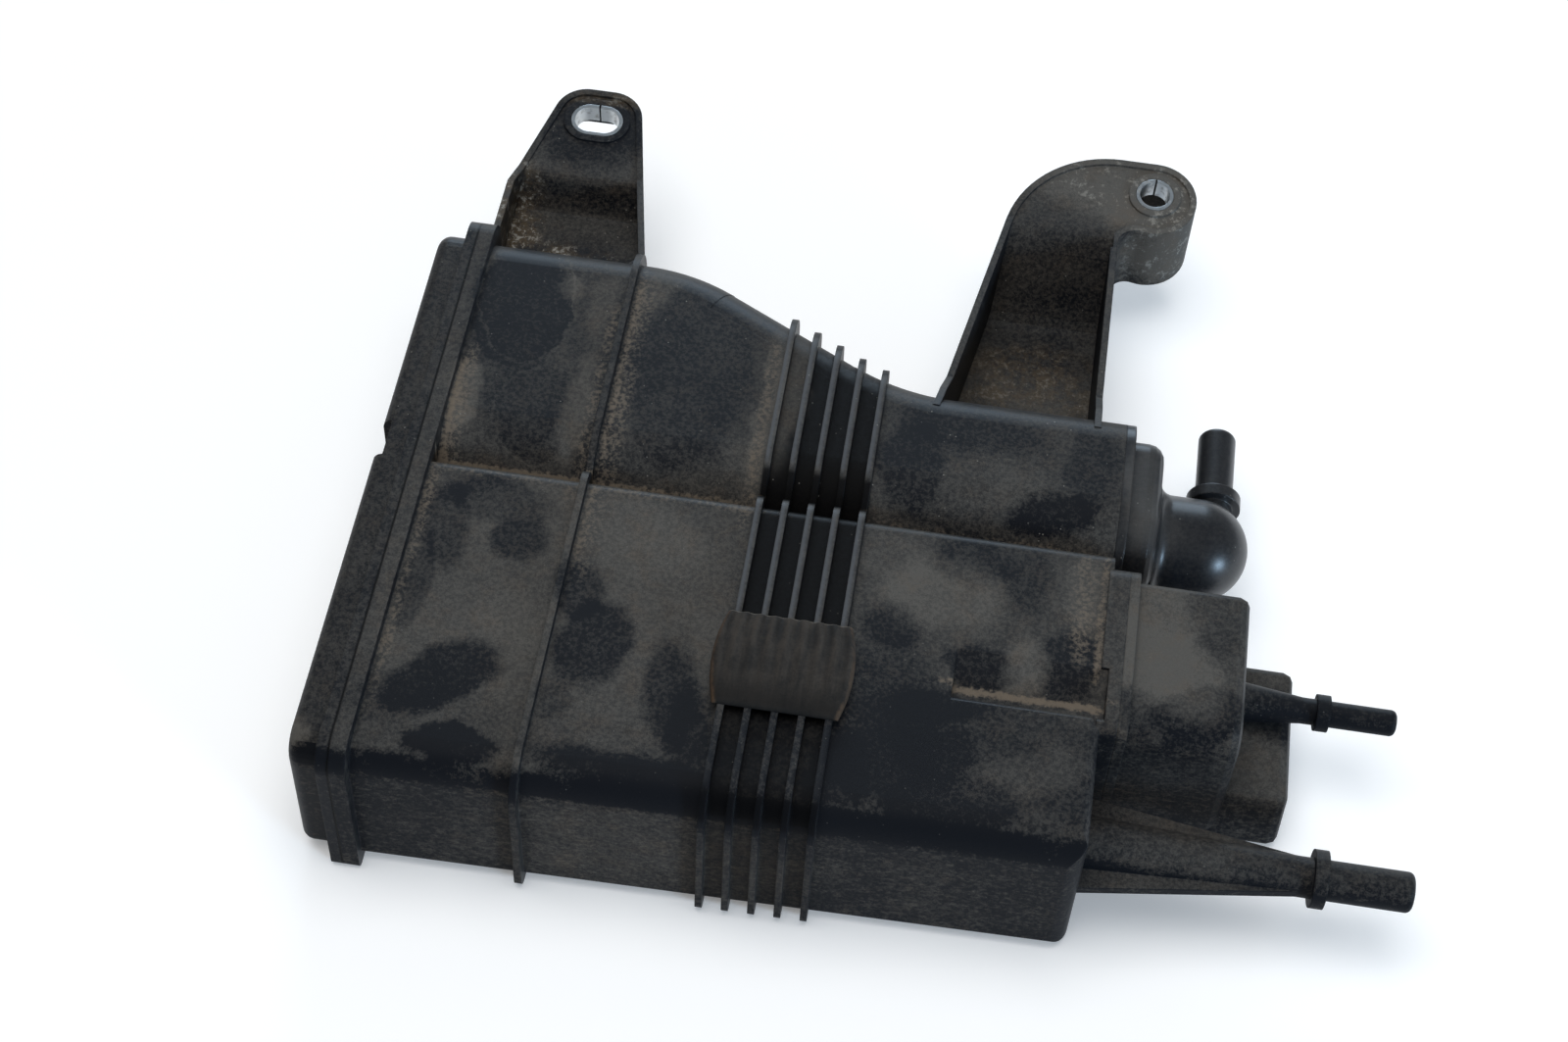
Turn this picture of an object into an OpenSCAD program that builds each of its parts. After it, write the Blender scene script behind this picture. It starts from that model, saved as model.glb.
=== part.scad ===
/* [Body] */
// Length of the moulded body from the weld face to the port end
body_len = 212; // [200:1:230]
// Width of the front chamber across its outer walls
front_w = 104; // [96:1:116]
// Width of the back chamber at the weld flange
back_w = 95.5; // [88:0.5:104]
// Width of the narrow neck that leads to the vent
neck_w = 57.5; // [55:0.5:62]
// Height of both chambers
body_h = 53; // [50:1:60]
// Thickness of the moulded walls
wall = 2.5; // [2:0.1:3]
// Lean of the front wall in plan, in degrees
front_draft = 1.1; // [0.5:0.1:1.6]
// Radius of the upper front edge
front_edge_r = 10; // [7:0.5:14]
// Radius of the lower edges
lower_edge_r = 2; // [1.5:0.25:6]
// Radius of the front chamber's upper edge beside the groove
groove_edge_r = 4; // [3.5:0.5:8]
// Radius of the back chamber's shoulder beside the groove
groove_r = 22; // [16:0.5:23]
// Radius of the back chamber's upper back edge
back_edge_r = 13; // [8:0.5:18]
// Radius of both bends in the back wall
bend_r = 65; // [50:1:80]
// Angle that the back wall turns through at each bend
bend_angle = 28; // [24:0.5:32]

/* [Ribs and weld flange] */
// Height of the ribs, the fin and the weld flange above the walls
rib_h = 3.5; // [2.5:0.1:4.5]
// Thickness of each rib
rib_t = 2; // [1.5:0.1:3]
// Distance from the weld face to the first rib
rib_x = 105; // [90:1:112]
// Distance from one rib to the next
rib_pitch = 7.7; // [6.5:0.1:9]
// Number of ribs
rib_count = 5; // [3:1:6]
// Distance from the weld face to the fin
fin_x = 52; // [46:1:58]
// Thickness of the fin
fin_t = 2.2; // [1.5:0.1:3]
// Thickness of the body's weld flange
flange_t = 5; // [4:0.1:7]
// Radius of the weld flange's upper corners
flange_r = 9; // [6:0.5:14]
// Radius of the weld flange's lower corners
flange_low_r = 3; // [2:0.25:6]

/* [Pocket] */
// Distance from the port end to the closed end of the pocket
pocket_len = 43; // [30:1:55]
// Distance from the front face to the pocket's steep side
pocket_y = 45.75; // [43:0.25:54]
// Width of the pocket across its floor and its slope
pocket_w = 16; // [12:0.5:18]
// Width of the pocket's flat floor
pocket_floor_w = 6; // [2:0.25:8]
// Depth of the pocket along its steep side
pocket_depth = 4; // [2:0.25:6]
// Radius of the pocket's lip along its steep side
lip_r = 2.5; // [1.5:0.25:3]
// Radius of the front chamber's upright corners at the port end
end_corner_r = 6; // [3:0.5:7]
// Radius of the front chamber's upper edge at the port end, no more than the pocket is deep
end_edge_r = 4; // [2:0.25:4]

/* [End cover] */
// Depth of the end cover from the weld face
cover_depth = 13.2; // [11:0.1:18]
// Thickness of the cover's weld flange
cover_flange_t = 3.5; // [2.5:0.1:4.5]
// Distance that the cover's wall stands back from its flange
cover_step = 4; // [3.5:0.25:6]
// Radius of the cover's outer edges
cover_edge_r = 4; // [3:0.25:5]
// Width of the notch beside the partition
notch_w = 13; // [8:0.5:18]
// Depth of that notch
notch_depth = 4; // [2:0.25:5]

/* [Port cover] */
// Distance from the front face to the port flange
port_y = 41; // [40:1:44]
// Width of the port flange
port_w = 59; // [56:1:62]
// Height of the port flange
port_h = 57; // [54:0.5:60]
// Height of the port flange above the chambers' upper face
port_rise = 1; // [0.5:0.25:3]
// Thickness of the body's port flange
port_flange_t = 5; // [4:0.1:7]
// Thickness of the port cover's flange
port_cover_t = 3; // [2.5:0.1:4]
// Distance that the port housing stands back from its flange
port_step = 3; // [2:0.25:4]
// Length of the upper housing from its flange
upper_len = 33; // [28:0.5:40]
// Radius of the upper housing's front edge
upper_edge_r = 11; // [8:0.5:14]
// Length of the lower housing from its flange
lower_len = 51.5; // [45:0.5:58]
// Width of the lower housing
lower_w = 50; // [44:0.5:52]
// Height of the lower housing
lower_h = 22; // [18:0.5:25]
// Radius of the housings' other edges
housing_r = 3; // [2:0.25:4]
// Depth of the lower housing below the body's underside
lower_drop = 2; // [0:0.25:3]
// Lean of the lower housing's front wall from bottom to top
lower_lean = 3; // [0:0.25:5]

/* [Pipes] */
// Diameter of the tank and vent spigots
wide_d = 11.8; // [10:0.1:13]
// Diameter of the purge spigot
slim_d = 7.89; // [7:0.01:9]
// Wall of the spigots
pipe_wall = 1.6; // [1.2:0.1:2]
// Height of the beads above the tank and vent spigots
wide_bead_h = 2.6; // [1.5:0.1:3]
// Height of the bead above the purge spigot
slim_bead_h = 1.6; // [1:0.1:2.5]
// Width of the beads
bead_w = 4; // [3:0.25:5]
// Radius of the rounded spigot tips
tip_r = 1.8; // [0.6:0.1:2.2]
// Length of the tank spigot beyond its bead
tank_spigot = 25; // [20:0.5:30]
// Distance from the port end to the tank pipe's bead
tank_reach = 66; // [58:1:76]
// Distance from the front face to the tank pipe
tank_y = 20; // [17:0.5:23]
// Height of the tank pipe above the body's floor
tank_z = 24.5; // [20:0.5:30]
// Diameter of the tank pipe's root
tank_root_d = 18; // [16:0.5:22]
// Width of the tank pipe's webs at the root
web_w = 31; // [26:0.5:32]
// Thickness of the webs
web_t = 3; // [2:0.25:4]
// Length of the purge spigot beyond its bead
purge_spigot = 20; // [16:0.5:26]
// Distance from the upper housing to the purge pipe's bead
purge_reach = 24; // [20:0.5:30]
// Distance from the port flange's front to the purge pipe
purge_y = 34.5; // [30:0.5:40]
// Height of the purge pipe above the lower housing
purge_rise = 6.5; // [6:0.25:10]
// Diameter of the purge pipe's root
purge_root_d = 13; // [11:0.5:13]

/* [Vent elbow] */
// Thickness of the cap on the neck
cap_t = 3; // [2.5:0.25:5]
// Distance that the cap's step stands in from the neck's outline
step_inset = 5; // [4:0.25:6]
// Length of that step
step_len = 10; // [8:0.5:13]
// Radius of the step's outer edge
step_edge_r = 5; // [3:0.5:6]
// Diameter of the elbow and its dome
elbow_d = 32; // [28:0.5:32]
// Radius of the fillet between step and elbow
elbow_fillet_r = 4; // [2:0.5:4.5]
// Distance from the neck's front side to the elbow's axis
elbow_y = 27; // [25:0.25:29]
// Height of the elbow's axis above the body's underside
elbow_z = 25.5; // [25:0.25:28]
// Distance from the neck's end to the centre of the dome
elbow_reach = 26.5; // [22:0.5:30]
// Distance from the dome's centre to the vent spigot's axis
vent_shift = 4.5; // [0:0.25:5]
// Diameter of the vent spigot's root
vent_root_d = 20; // [16:0.5:22]
// Distance from the elbow's axis to the vent bead
vent_bead = 17; // [16:0.5:20]
// Length of the vent spigot beyond its bead
vent_spigot = 25; // [20:0.5:30]

/* [Brackets] */
// Distance from the front face to both bolt holes
bolt_y = 258.5; // [250:0.5:270]
// Height of the tabs at the bolt holes
tab_z = 46; // [42:0.5:48]
// Tilt of the tabs, in degrees
tab_tilt = 8; // [4:0.5:12]
// Distance from the bolt holes to the tabs' tips
tab_tip = 12.25; // [12:0.25:15]
// Thickness of the tab and tray floors
tray_t = 3; // [2.5:0.1:4]
// Thickness of the bracket walls
arm_t = 2.2; // [1.8:0.1:3]
// Height of the lip round the tabs
lip_h = 0.8; // [0.4:0.1:2]
// Distance from the weld face to the oval bolt hole
left_bolt_x = 26; // [24:0.5:27]
// Width of the left tab
left_tab_w = 30; // [28:0.5:32]
// Radius of the left tab's corners
left_tab_r = 11; // [8:0.5:12]
// Height of the left tray's floor
left_floor_z = 30; // [26:0.5:34]
// Distance from the bolt hole to the top of the left ramp
left_ramp = 22; // [20:0.5:25]
// Length of the left ramp
left_ramp_len = 8; // [6:0.5:11]
// Depth of the left tab's skirt
left_skirt = 12; // [9:0.5:14]
// Distance from the weld face to the left bracket's outer wall
left_wall_x = 1.5; // [1:0.25:4]
// Distance from the bolt hole to the bend in that wall
left_bend = 30; // [26:0.5:36]
// Width of the gusset at the foot of the left bracket's inner wall
gusset_w = 8; // [6:0.5:10]
// How far the right bolt's axis lies beyond the port end
right_bolt_out = 2.5; // [0:0.5:5]
// How far the outer wall of the right bracket lies inside the port end
right_wall_in = 8; // [6:0.5:11]
// Width of the right bracket at the neck
right_foot_w = 53; // [48:0.5:58]
// Length of the gussets that tie the right bracket's walls to the neck
right_gusset = 15; // [10:0.5:22]
// Drop of those gussets' upper edge across the neck's rounded edge
gusset_drop = 2.5; // [1:0.25:5]
// Radius of the right tab's rounded end
right_tab_r = 14; // [13:0.25:16]
// Radius of the sweep at the right bracket's corner
sweep_r = 36.5; // [32:0.5:42]
// How far the middle of the swept corner lies inside the port end
sweep_in = 9.5; // [6:0.5:16]
// Radius of the fillet between the right tab and its wall
tab_fillet_r = 6; // [4:0.5:8]
// Height of the right tray's floor
right_floor_z = 16; // [12:0.5:20]
// Distance from the bolt hole to the top of the right ramp
right_ramp = 16.5; // [14:0.5:19]
// Length of the right ramp
right_ramp_len = 24; // [18:0.5:28]
// Depth of the right tab's skirt
right_skirt = 24.5; // [18:0.5:26]

/* [Sleeves] */
// Diameter of the bolt holes
bolt_d = 10; // [8:0.1:11]
// Wall of the steel sleeves
sleeve_t = 1.2; // [1:0.1:2]
// Length of the steel sleeves
sleeve_len = 7; // [6:0.25:9]
// Extra length of the oval hole
oval_extra = 5; // [3:0.25:6]
// Width of the split in the sleeves
split_w = 0.6; // [0.4:0.1:1]
// Width of the moulded ring round each sleeve
ring_w = 2.5; // [2:0.1:3.5]
// Height of the moulded ring above the tab
ring_h = 0.8; // [0.4:0.1:1.5]
// Gap between a sleeve and its seat
sleeve_gap = 0.1; // [0.05:0.05:0.2]

/* [Rib pad] */
// Length of the pad along the body, at its ends
pad_len = 36; // [30:1:40]
// Bulge of the pad's sides
pad_bulge = 2.5; // [1:0.25:4]
// Width of the pad across the ribs
pad_w = 32; // [26:1:38]
// Distance from the front face to the pad
pad_y = 29; // [24:1:34]
// Thickness of the pad at its ends
pad_edge_t = 1.4; // [1:0.1:2]
// Rise of the pad's arch
pad_rise = 2.2; // [1:0.1:4]
// Number of ridges on the pad
ridge_count = 7; // [5:1:8]
// Width of each ridge
ridge_w = 2.6; // [1.5:0.1:3]
// Height of each ridge
ridge_h = 0.5; // [0.3:0.1:1]

/* [Filling] */
// Gap between the filling and the walls
bed_gap = 0.3; // [0.2:0.05:0.5]
// Gap between the last felts and the port end's wall
felt_gap = 0.1; // [0.05:0.05:0.3]
// Thickness of the felt pads
felt_t = 4; // [3:0.5:6]
// Thickness of the pressure plates
plate_t = 3; // [2:0.25:4]
// Distance from the weld face to the pressure plates
plate_x = 18; // [14:0.5:22]
// Diameter of the plates' holes
vent_hole_d = 5; // [3:0.25:6]
// Distance between the plates' holes
vent_hole_pitch = 11; // [9:0.5:14]
// Outer diameter of the springs
spring_d = 26; // [22:0.5:30]
// Diameter of the spring wire
wire_d = 2; // [1.5:0.1:2.5]
// Number of turns of the springs
spring_turns = 3.5; // [3:0.25:4.5]
// Height of the plates' spring seats
seat_h = 2; // [1:0.25:3]

/* [Hidden] */
$fn = 72;
hull_fn = 32;
arc_fn = 288;
// Overrun of cutting tools past a face, and overlap of joined forms
cut = 1;
lap = 4;
// Step by which the sloping part of the back wall lies inside its bends
seam = 0.15;
// Distance by which a rounding's arc reaches past the faces beside it
poke = 0.1;
// Colours
plastic = "#23272b";
steel = "#b9bec2";
rubber = "#35302b";
carbon = "#17181a";
felt = "#6d6a62";
plate_grey = "#4a4d50";
spring_steel = "#8f959a";

// Draft angle, moved to the nearest one whose cosine has six decimals
decimals = 1e6;
draft_turn = acos(round(cos(front_draft) * decimals) / decimals);

// Back chamber in plan
back_y0 = front_w - wall / 2;
back_y1 = back_y0 + back_w;
neck_y1 = back_y0 + neck_w;
front_y0 = -body_len * sin(draft_turn);
strip_w = groove_r + lap;
band_w = back_edge_r + rib_h + lap;
nose_w = front_edge_r + 6 * lap;
bend_drop = bend_r * (1 - cos(bend_angle));
bend_run = bend_r * sin(bend_angle);
slope_len = (back_y1 - neck_y1 - 2 * bend_drop) / sin(bend_angle);
bend_x = fin_x + fin_t;
bend_end_x = bend_x + 2 * bend_run + slope_len * cos(bend_angle);

// Weld flange
flange_y0 = front_y0 - rib_h;
flange_w = back_y1 + rib_h - flange_y0;
flange_h = body_h + 2 * rib_h;

// Port flange and housings
port_x = body_len + port_flange_t;
housing_x = port_x + port_cover_t;
port_z = body_h + port_rise - port_h;
lower_z = -lower_drop;
purge_z = lower_z + lower_h + purge_rise;
purge_x = housing_x + upper_len;
tank_tip_x = body_len + tank_reach + bead_w + tank_spigot;

// Elbow
axis_y = back_y0 + elbow_y;
dome_x = body_len + elbow_reach;
elbow_bore = elbow_d - 2 * wall;
step_end = cap_t + step_len;
step_layers = 4;

// Bracket outlines
tab_slope = tan(tab_tilt);
tip_y = bolt_y + tab_tip;
left_corner_y = tip_y - left_tab_r;
left_corner_dx = left_tab_w / 2 - left_tab_r;
sweep_y = tip_y - sweep_r;
right_bolt_x = body_len + right_bolt_out;
right_wall_x = body_len - right_wall_in;
sweep_x = body_len - sweep_in;
fillet_x = right_wall_x + tab_fillet_r;
right_tab_y = tip_y - right_tab_r;
fillet_y = right_tab_y - sqrt((right_tab_r + tab_fillet_r) ^ 2 - (right_bolt_x - fillet_x) ^ 2);
ramp_steps = 10;
sleeve_d = bolt_d + 2 * sleeve_t;

// Pad on the ribs
pad_z = body_h + rib_h;
pad_x = rib_x + (rib_count - 1) * rib_pitch / 2;

// Filling along the body
front_end_x = body_len - wall;
felt_end_x = front_end_x - felt_gap;
plate_felt_x = plate_x + plate_t;
bed_x = plate_felt_x + felt_t;
neck_felt_x = bend_end_x - felt_t / 2;
spring_x = -cover_depth + wall;
spring_len = plate_x - spring_x;
spring_dy = spring_d / 2 + lap;
front_mid_y = front_w / 2;
back_mid_y = (back_y0 + back_y1) / 2;
mid_z = body_h / 2;
wire_sides = 8;
wire_steps = 20;

// Place of the part's own origin: below the middle of its outline, on the surface it rests on
origin = [(tank_tip_x - cover_depth) / 2, (flange_y0 + tip_y) / 2, -rib_h];

module in_place() translate(-origin) children();

// Runs a section drawn as [y, z] along the body
module along_x(x0, x1) translate([x0, 0, 0]) rotate([90, 0, 90]) linear_extrude(x1 - x0) children();

// Block across the whole body between two distances from the weld face
module slab(x0, x1) {
    reach = 2 * (back_y1 + body_h);
    translate([x0, -reach / 2, -reach / 2]) cube([x1 - x0, 2 * reach, reach]);
}

// What a round corner takes off a square one
module corner(r) difference() {
    square(r);
    translate([r, r]) circle(r);
}

// Rectangle with a radius for each corner: low front, low back, high back, high front
module rounded(w, h, r) difference() {
    square([w, h]);
    if (r[0] > 0) corner(r[0]);
    if (r[1] > 0) translate([w, 0]) rotate(90) corner(r[1]);
    if (r[2] > 0) translate([w, h]) rotate(180) corner(r[2]);
    if (r[3] > 0) translate([0, h]) rotate(270) corner(r[3]);
}

// What rounding takes off an edge at the origin, its arc crossing both faces at a small angle
module relieved(r) translate([poke - r, poke - r]) difference() {
    square(r + cut);
    circle(r);
}

// Front chamber between two distances from the weld face, its walls moved inwards by a given amount
module front_form(inset, start, stop) {
    tall = body_h - 2 * inset;
    low_r = lower_edge_r - inset;
    main_y = nose_w - 2 * lap;
    intersection() {
        slab(start, stop);
        translate([body_len, 0, 0]) rotate(draft_turn) along_x(-body_len - lap, lap)
            translate([inset, inset]) rounded(nose_w, tall, [low_r, 0, 0, front_edge_r - inset]);
    }
    along_x(start, stop) translate([main_y, inset])
        rounded(front_w - inset - main_y, tall, [0, low_r, groove_edge_r - inset / 2, 0]);
}

// Outer edge of the back chamber, drawn inwards from the wall's face
module back_band(inset) translate([-band_w, inset])
    rounded(band_w, body_h - 2 * inset, [0, lower_edge_r - inset, back_edge_r - inset, 0]);

// Back chamber and neck between two distances, swept along the two bends of the back wall
module back_form(inset, start, stop) {
    tall = body_h - 2 * inset;
    side = [sin(bend_angle), cos(bend_angle)];
    wide_bend = [bend_x, back_y1 - bend_r];
    neck_bend = [bend_end_x, neck_y1 + bend_r];
    slope = wide_bend + (bend_r - inset - seam) * side;
    deep = back_edge_r + lap / 2;
    knee = (bend_r - deep) * tan(bend_angle / 2);
    elbow = (bend_r + deep) * tan(bend_angle / 2);
    along_x(start, bend_x) translate([back_y1 - inset, 0]) back_band(inset);
    translate(wide_bend) rotate_extrude(angle = bend_angle, start = 90 - bend_angle)
        translate([bend_r - inset, 0]) back_band(inset);
    translate(slope) rotate(-bend_angle) along_x(-cut, slope_len + cut) back_band(inset + seam);
    translate(neck_bend) rotate_extrude(angle = bend_angle, start = 270 - bend_angle)
        translate([bend_r + inset, 0]) mirror([1, 0]) back_band(inset);
    along_x(bend_end_x, stop) translate([neck_y1 - inset, 0]) back_band(inset);
    along_x(start, stop) translate([back_y0 + inset, inset])
        rounded(strip_w, tall, [lower_edge_r - inset, 0, 0, groove_r - inset]);
    translate([0, 0, inset]) linear_extrude(tall) polygon([
        [start, back_y0 + groove_r],
        [stop, back_y0 + groove_r],
        [stop, neck_y1 - deep],
        [bend_end_x - elbow, neck_y1 - deep],
        [bend_x + knee, back_y1 - deep],
        [start, back_y1 - deep]
    ]);
}

// Pocket with a flat floor along its steep side and a slope behind it
module pocket() translate([0, pocket_y, body_h]) along_x(body_len - pocket_len, body_len + cut)
    union() {
        polygon([
            [0, cut], [pocket_w, cut], [pocket_w, 0],
            [pocket_floor_w, -pocket_depth], [0, -pocket_depth]
        ]);
        relieved(lip_r);
    }

// Rounding of the front chamber's edges at the port end: beside the front wall, beside the pocket and above
module end_rounding() translate([body_len, 0, 0]) {
    translate([0, 0, -cut]) rotate(draft_turn / 2) linear_extrude(body_h + 2 * cut)
        mirror([0, 1]) relieved(end_corner_r);
    translate([0, pocket_y, body_h - pocket_depth]) linear_extrude(pocket_depth + cut) relieved(end_corner_r);
    translate([0, pocket_y + cut, body_h]) rotate([90, 0, 0]) linear_extrude(pocket_y + 3 * cut)
        relieved(min(end_edge_r, pocket_depth));
}

// Room inside the front chamber, kept clear of the pocket's wall
module front_room(inset, stop) difference() {
    front_form(inset, -cut, stop);
    translate([body_len - pocket_len - inset, pocket_y - inset, body_h - pocket_depth - inset])
        cube([pocket_len + inset + cut, pocket_w + 2 * inset, pocket_depth + inset]);
}

// Slices of the filling in the two rooms between two distances from the weld face
module front_slice(x0, x1) intersection() {
    front_room(wall + bed_gap, body_len);
    slab(x0, x1);
}

module back_slice(x0, x1) intersection() {
    back_form(wall + bed_gap, -cut, body_len);
    slab(x0, x1);
}

// Distance from the front to the outside of the front and back walls at a place along the body
function front_wall(x) = (x - body_len) * tan(draft_turn);
function back_wall(x) =
    x < bend_x ? back_y1
    : x < bend_x + bend_run ? back_y1 - bend_r + sqrt(bend_r ^ 2 - (x - bend_x) ^ 2)
    : x < bend_end_x - bend_run ? back_y1 - bend_drop - (x - bend_x - bend_run) * tan(bend_angle)
    : x < bend_end_x ? neck_y1 + bend_r - sqrt(bend_r ^ 2 - (bend_end_x - x) ^ 2)
    : neck_y1;

// Section through both chambers at a place along the body, moved inwards by a given amount
module body_section(x, inset) {
    tall = body_h - 2 * inset;
    low_r = lower_edge_r - inset;
    front_y = front_wall(x) + inset;
    back_y = back_y0 + inset;
    translate([front_y, inset]) rounded(front_w - inset - front_y, tall,
        [low_r, low_r, groove_edge_r - inset, front_edge_r - inset]);
    translate([back_y, inset]) rounded(back_wall(x) - inset - back_y, tall,
        [low_r, low_r, back_edge_r - inset, groove_r - inset]);
}

// Rib round the outside of both chambers, rooted in the middle of their walls
module outer_rib(x, t) along_x(x - t / 2, x + t / 2) difference() {
    body_section(x, -rib_h);
    body_section(x, wall / 2);
}

// Outline of the weld flange, moved inwards by a given amount
module flange_outline(inset) translate([flange_y0 + inset, inset - rib_h])
    rounded(flange_w - 2 * inset, flange_h - 2 * inset, [flange_low_r, flange_low_r, flange_r, flange_r]);

// Outline of the port flange, moved inwards by a given amount
module port_outline(inset) translate([port_y + inset, port_z + inset])
    rounded(port_w - 2 * inset, port_h - 2 * inset, [for (k = [1:4]) housing_r + port_step - inset / 2]);

// Spigot drawn along +Z from a conical root to its tip, with a bead at a given reach
module spigot(reach, root_d, pipe_d, bead_h, length) {
    r = pipe_d / 2;
    tip = reach + bead_w + length;
    rotate_extrude() {
        polygon([[0, 0], [root_d / 2, 0], [r, reach - bead_w], [r, tip - tip_r], [0, tip - tip_r]]);
        translate([0, reach]) square([r + bead_h, bead_w]);
        translate([0, tip - tip_r]) square([r - tip_r, tip_r]);
        translate([r - tip_r, tip - tip_r]) intersection() {
            circle(tip_r);
            square(tip_r);
        }
    }
}

// Bore of a spigot, cut from behind its root to past its tip
module spigot_bore(reach, pipe_d, length, behind) translate([0, 0, -behind])
    cylinder(d = pipe_d - 2 * pipe_wall, h = behind + reach + bead_w + length + cut);

// Point where a line from p touches a circle; side is 1 on its left and -1 on its right
function touch(p, c, r, side) =
    let (d = c - p, far = norm(d), turn = side * asin(r / far), run = sqrt(far ^ 2 - r ^ 2) / far)
    p + run * [d.x * cos(turn) - d.y * sin(turn), d.x * sin(turn) + d.y * cos(turn)];

// Height of the tabs' upper face at a distance from the front
function tab_top(y) = tab_z + (y - bolt_y) * tab_slope;

// Upper line of a tray: flat floor, smooth ramp, then the tilted tab
function tray_line(foot_y, floor_z, ramp, ramp_len) =
    let (top_y = bolt_y - ramp, top_z = tab_top(top_y))
    concat(
        [[foot_y, floor_z]],
        [for (k = [0:ramp_steps]) let (s = k / ramp_steps)
            [top_y - ramp_len * (1 - s), floor_z + (top_z - floor_z) * s * s * (3 - 2 * s)]],
        [[tip_y + cut, tab_top(tip_y + cut)]]
    );

module tray_section(foot_y, floor_z, ramp, ramp_len) {
    line = tray_line(foot_y, floor_z, ramp, ramp_len);
    back = [for (k = [len(line) - 1:-1:0]) line[k] - [0, tray_t]];
    polygon(concat(line, back));
}

// Side view of a bracket's walls, from the lip down to the lower edge
module arm_section(foot_y, foot_low, ramp, skirt) polygon([
    [foot_y, foot_low],
    [bolt_y - ramp - skirt, foot_low],
    [bolt_y - ramp, tab_top(bolt_y - ramp) - skirt],
    [tip_y + cut, tab_top(tip_y + cut) - skirt],
    [tip_y + cut, tab_top(tip_y + cut) + lip_h],
    [bolt_y - ramp, tab_top(bolt_y - ramp) + lip_h],
    [foot_y, tab_z]
]);

// Plan of the left bracket, moved inwards by a given amount
module left_plan(inset, foot_y) {
    r = left_tab_r - inset;
    bend = [left_wall_x + inset, bolt_y - left_bend];
    foot = [fin_x + fin_t / 2 - inset, back_y1];
    left_c = [left_bolt_x - left_corner_dx, left_corner_y];
    right_c = [left_bolt_x + left_corner_dx, left_corner_y];
    polygon([
        [bend.x, foot_y], bend, touch(bend, left_c, r, 1), left_c + [0, r],
        right_c + [0, r], touch(foot, right_c, r, -1), foot, [foot.x, foot_y]
    ]);
    translate(left_c) circle(r);
    translate(right_c) circle(r);
}

// Plan of the right bracket, moved inwards by a given amount
module right_plan(inset, foot_y) {
    r = right_tab_r - inset;
    foot = [right_wall_x - right_foot_w + inset, neck_y1 - back_edge_r];
    sweep = [sweep_x, sweep_y];
    bolt = [right_bolt_x, right_tab_y];
    wall_x = right_wall_x - inset;
    hollow = [fillet_x, fillet_y];
    hollow_r = tab_fillet_r + inset;
    start = touch(foot, sweep, sweep_r - inset, 1);
    polygon([
        [foot.x, foot_y], foot, start, sweep, sweep + [0, sweep_r - inset],
        bolt + [0, r], bolt, [wall_x, right_tab_y], [wall_x, foot_y]
    ]);
    intersection() {
        translate(sweep) circle(sweep_r - inset);
        polygon([sweep, start, start + [0, 2 * sweep_r], sweep + [0, 2 * sweep_r]]);
    }
    translate(bolt) circle(r);
    difference() {
        polygon([[wall_x, fillet_y], hollow, bolt, [wall_x, right_tab_y]]);
        translate(hollow) circle(hollow_r);
    }
}

// Frame of a tab: bolt hole upright at the tab's tilt
module at_bolt(x) translate([x, bolt_y, tab_z]) rotate([tab_tilt, 0, 0]) children();

// Round or oval rod through a tab, from a depth below its face to a height above it
module bolt_rod(d, extra, depth, height) for (side = [-1, 1]) {
    translate([side * extra / 2, 0, -depth]) cylinder(d = d, h = depth + height);
    if (extra > 0 && side > 0) translate([-extra / 2, -d / 2, -depth]) cube([extra, d, depth + height]);
}

module left_bracket() {
    foot_y = back_y1 - back_edge_r;
    low_z = left_floor_z - left_skirt;
    intersection() {
        along_x(-cut, fin_x + lap) tray_section(foot_y, left_floor_z, left_ramp, left_ramp_len);
        linear_extrude(2 * body_h) left_plan(0, foot_y);
    }
    intersection() {
        along_x(-cut, fin_x + lap) arm_section(foot_y, low_z, left_ramp, left_skirt);
        linear_extrude(2 * body_h) difference() {
            left_plan(0, foot_y);
            left_plan(arm_t, foot_y - cut);
        }
    }
    translate([0, 0, low_z]) linear_extrude(tab_z - low_z) polygon([
        [fin_x + fin_t / 2, foot_y],
        [fin_x + fin_t / 2, back_y1],
        [fin_x + fin_t / 2 - arm_t, back_y1 + arm_t],
        [fin_x - gusset_w, back_y1 - lap],
        [fin_x - gusset_w, foot_y]
    ]);
    at_bolt(left_bolt_x) bolt_rod(sleeve_d + 2 * ring_w, oval_extra, sleeve_len - ring_h, ring_h);
}

module right_bracket() {
    foot_y = neck_y1 - back_edge_r - lap;
    far_x = right_bolt_x + right_tab_r + cut;
    near_x = right_wall_x - right_foot_w - cut;
    low_z = right_floor_z - tray_t - lap;
    intersection() {
        along_x(near_x, far_x) tray_section(foot_y, right_floor_z, right_ramp, right_ramp_len);
        linear_extrude(2 * body_h) right_plan(0, foot_y);
    }
    intersection() {
        along_x(near_x, far_x) {
            arm_section(foot_y, low_z, right_ramp, right_skirt);
            polygon([
                [foot_y + 2 * lap, low_z],
                [foot_y + 2 * lap, body_h - 2 * seam],
                [neck_y1, body_h - gusset_drop],
                [neck_y1 + right_gusset, tab_z - lap],
                [neck_y1 + right_gusset, low_z]
            ]);
        }
        linear_extrude(2 * body_h) difference() {
            right_plan(0, foot_y);
            right_plan(arm_t, foot_y - cut);
        }
    }
    at_bolt(right_bolt_x) bolt_rod(sleeve_d + 2 * ring_w, 0, sleeve_len - ring_h, ring_h);
}

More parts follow.
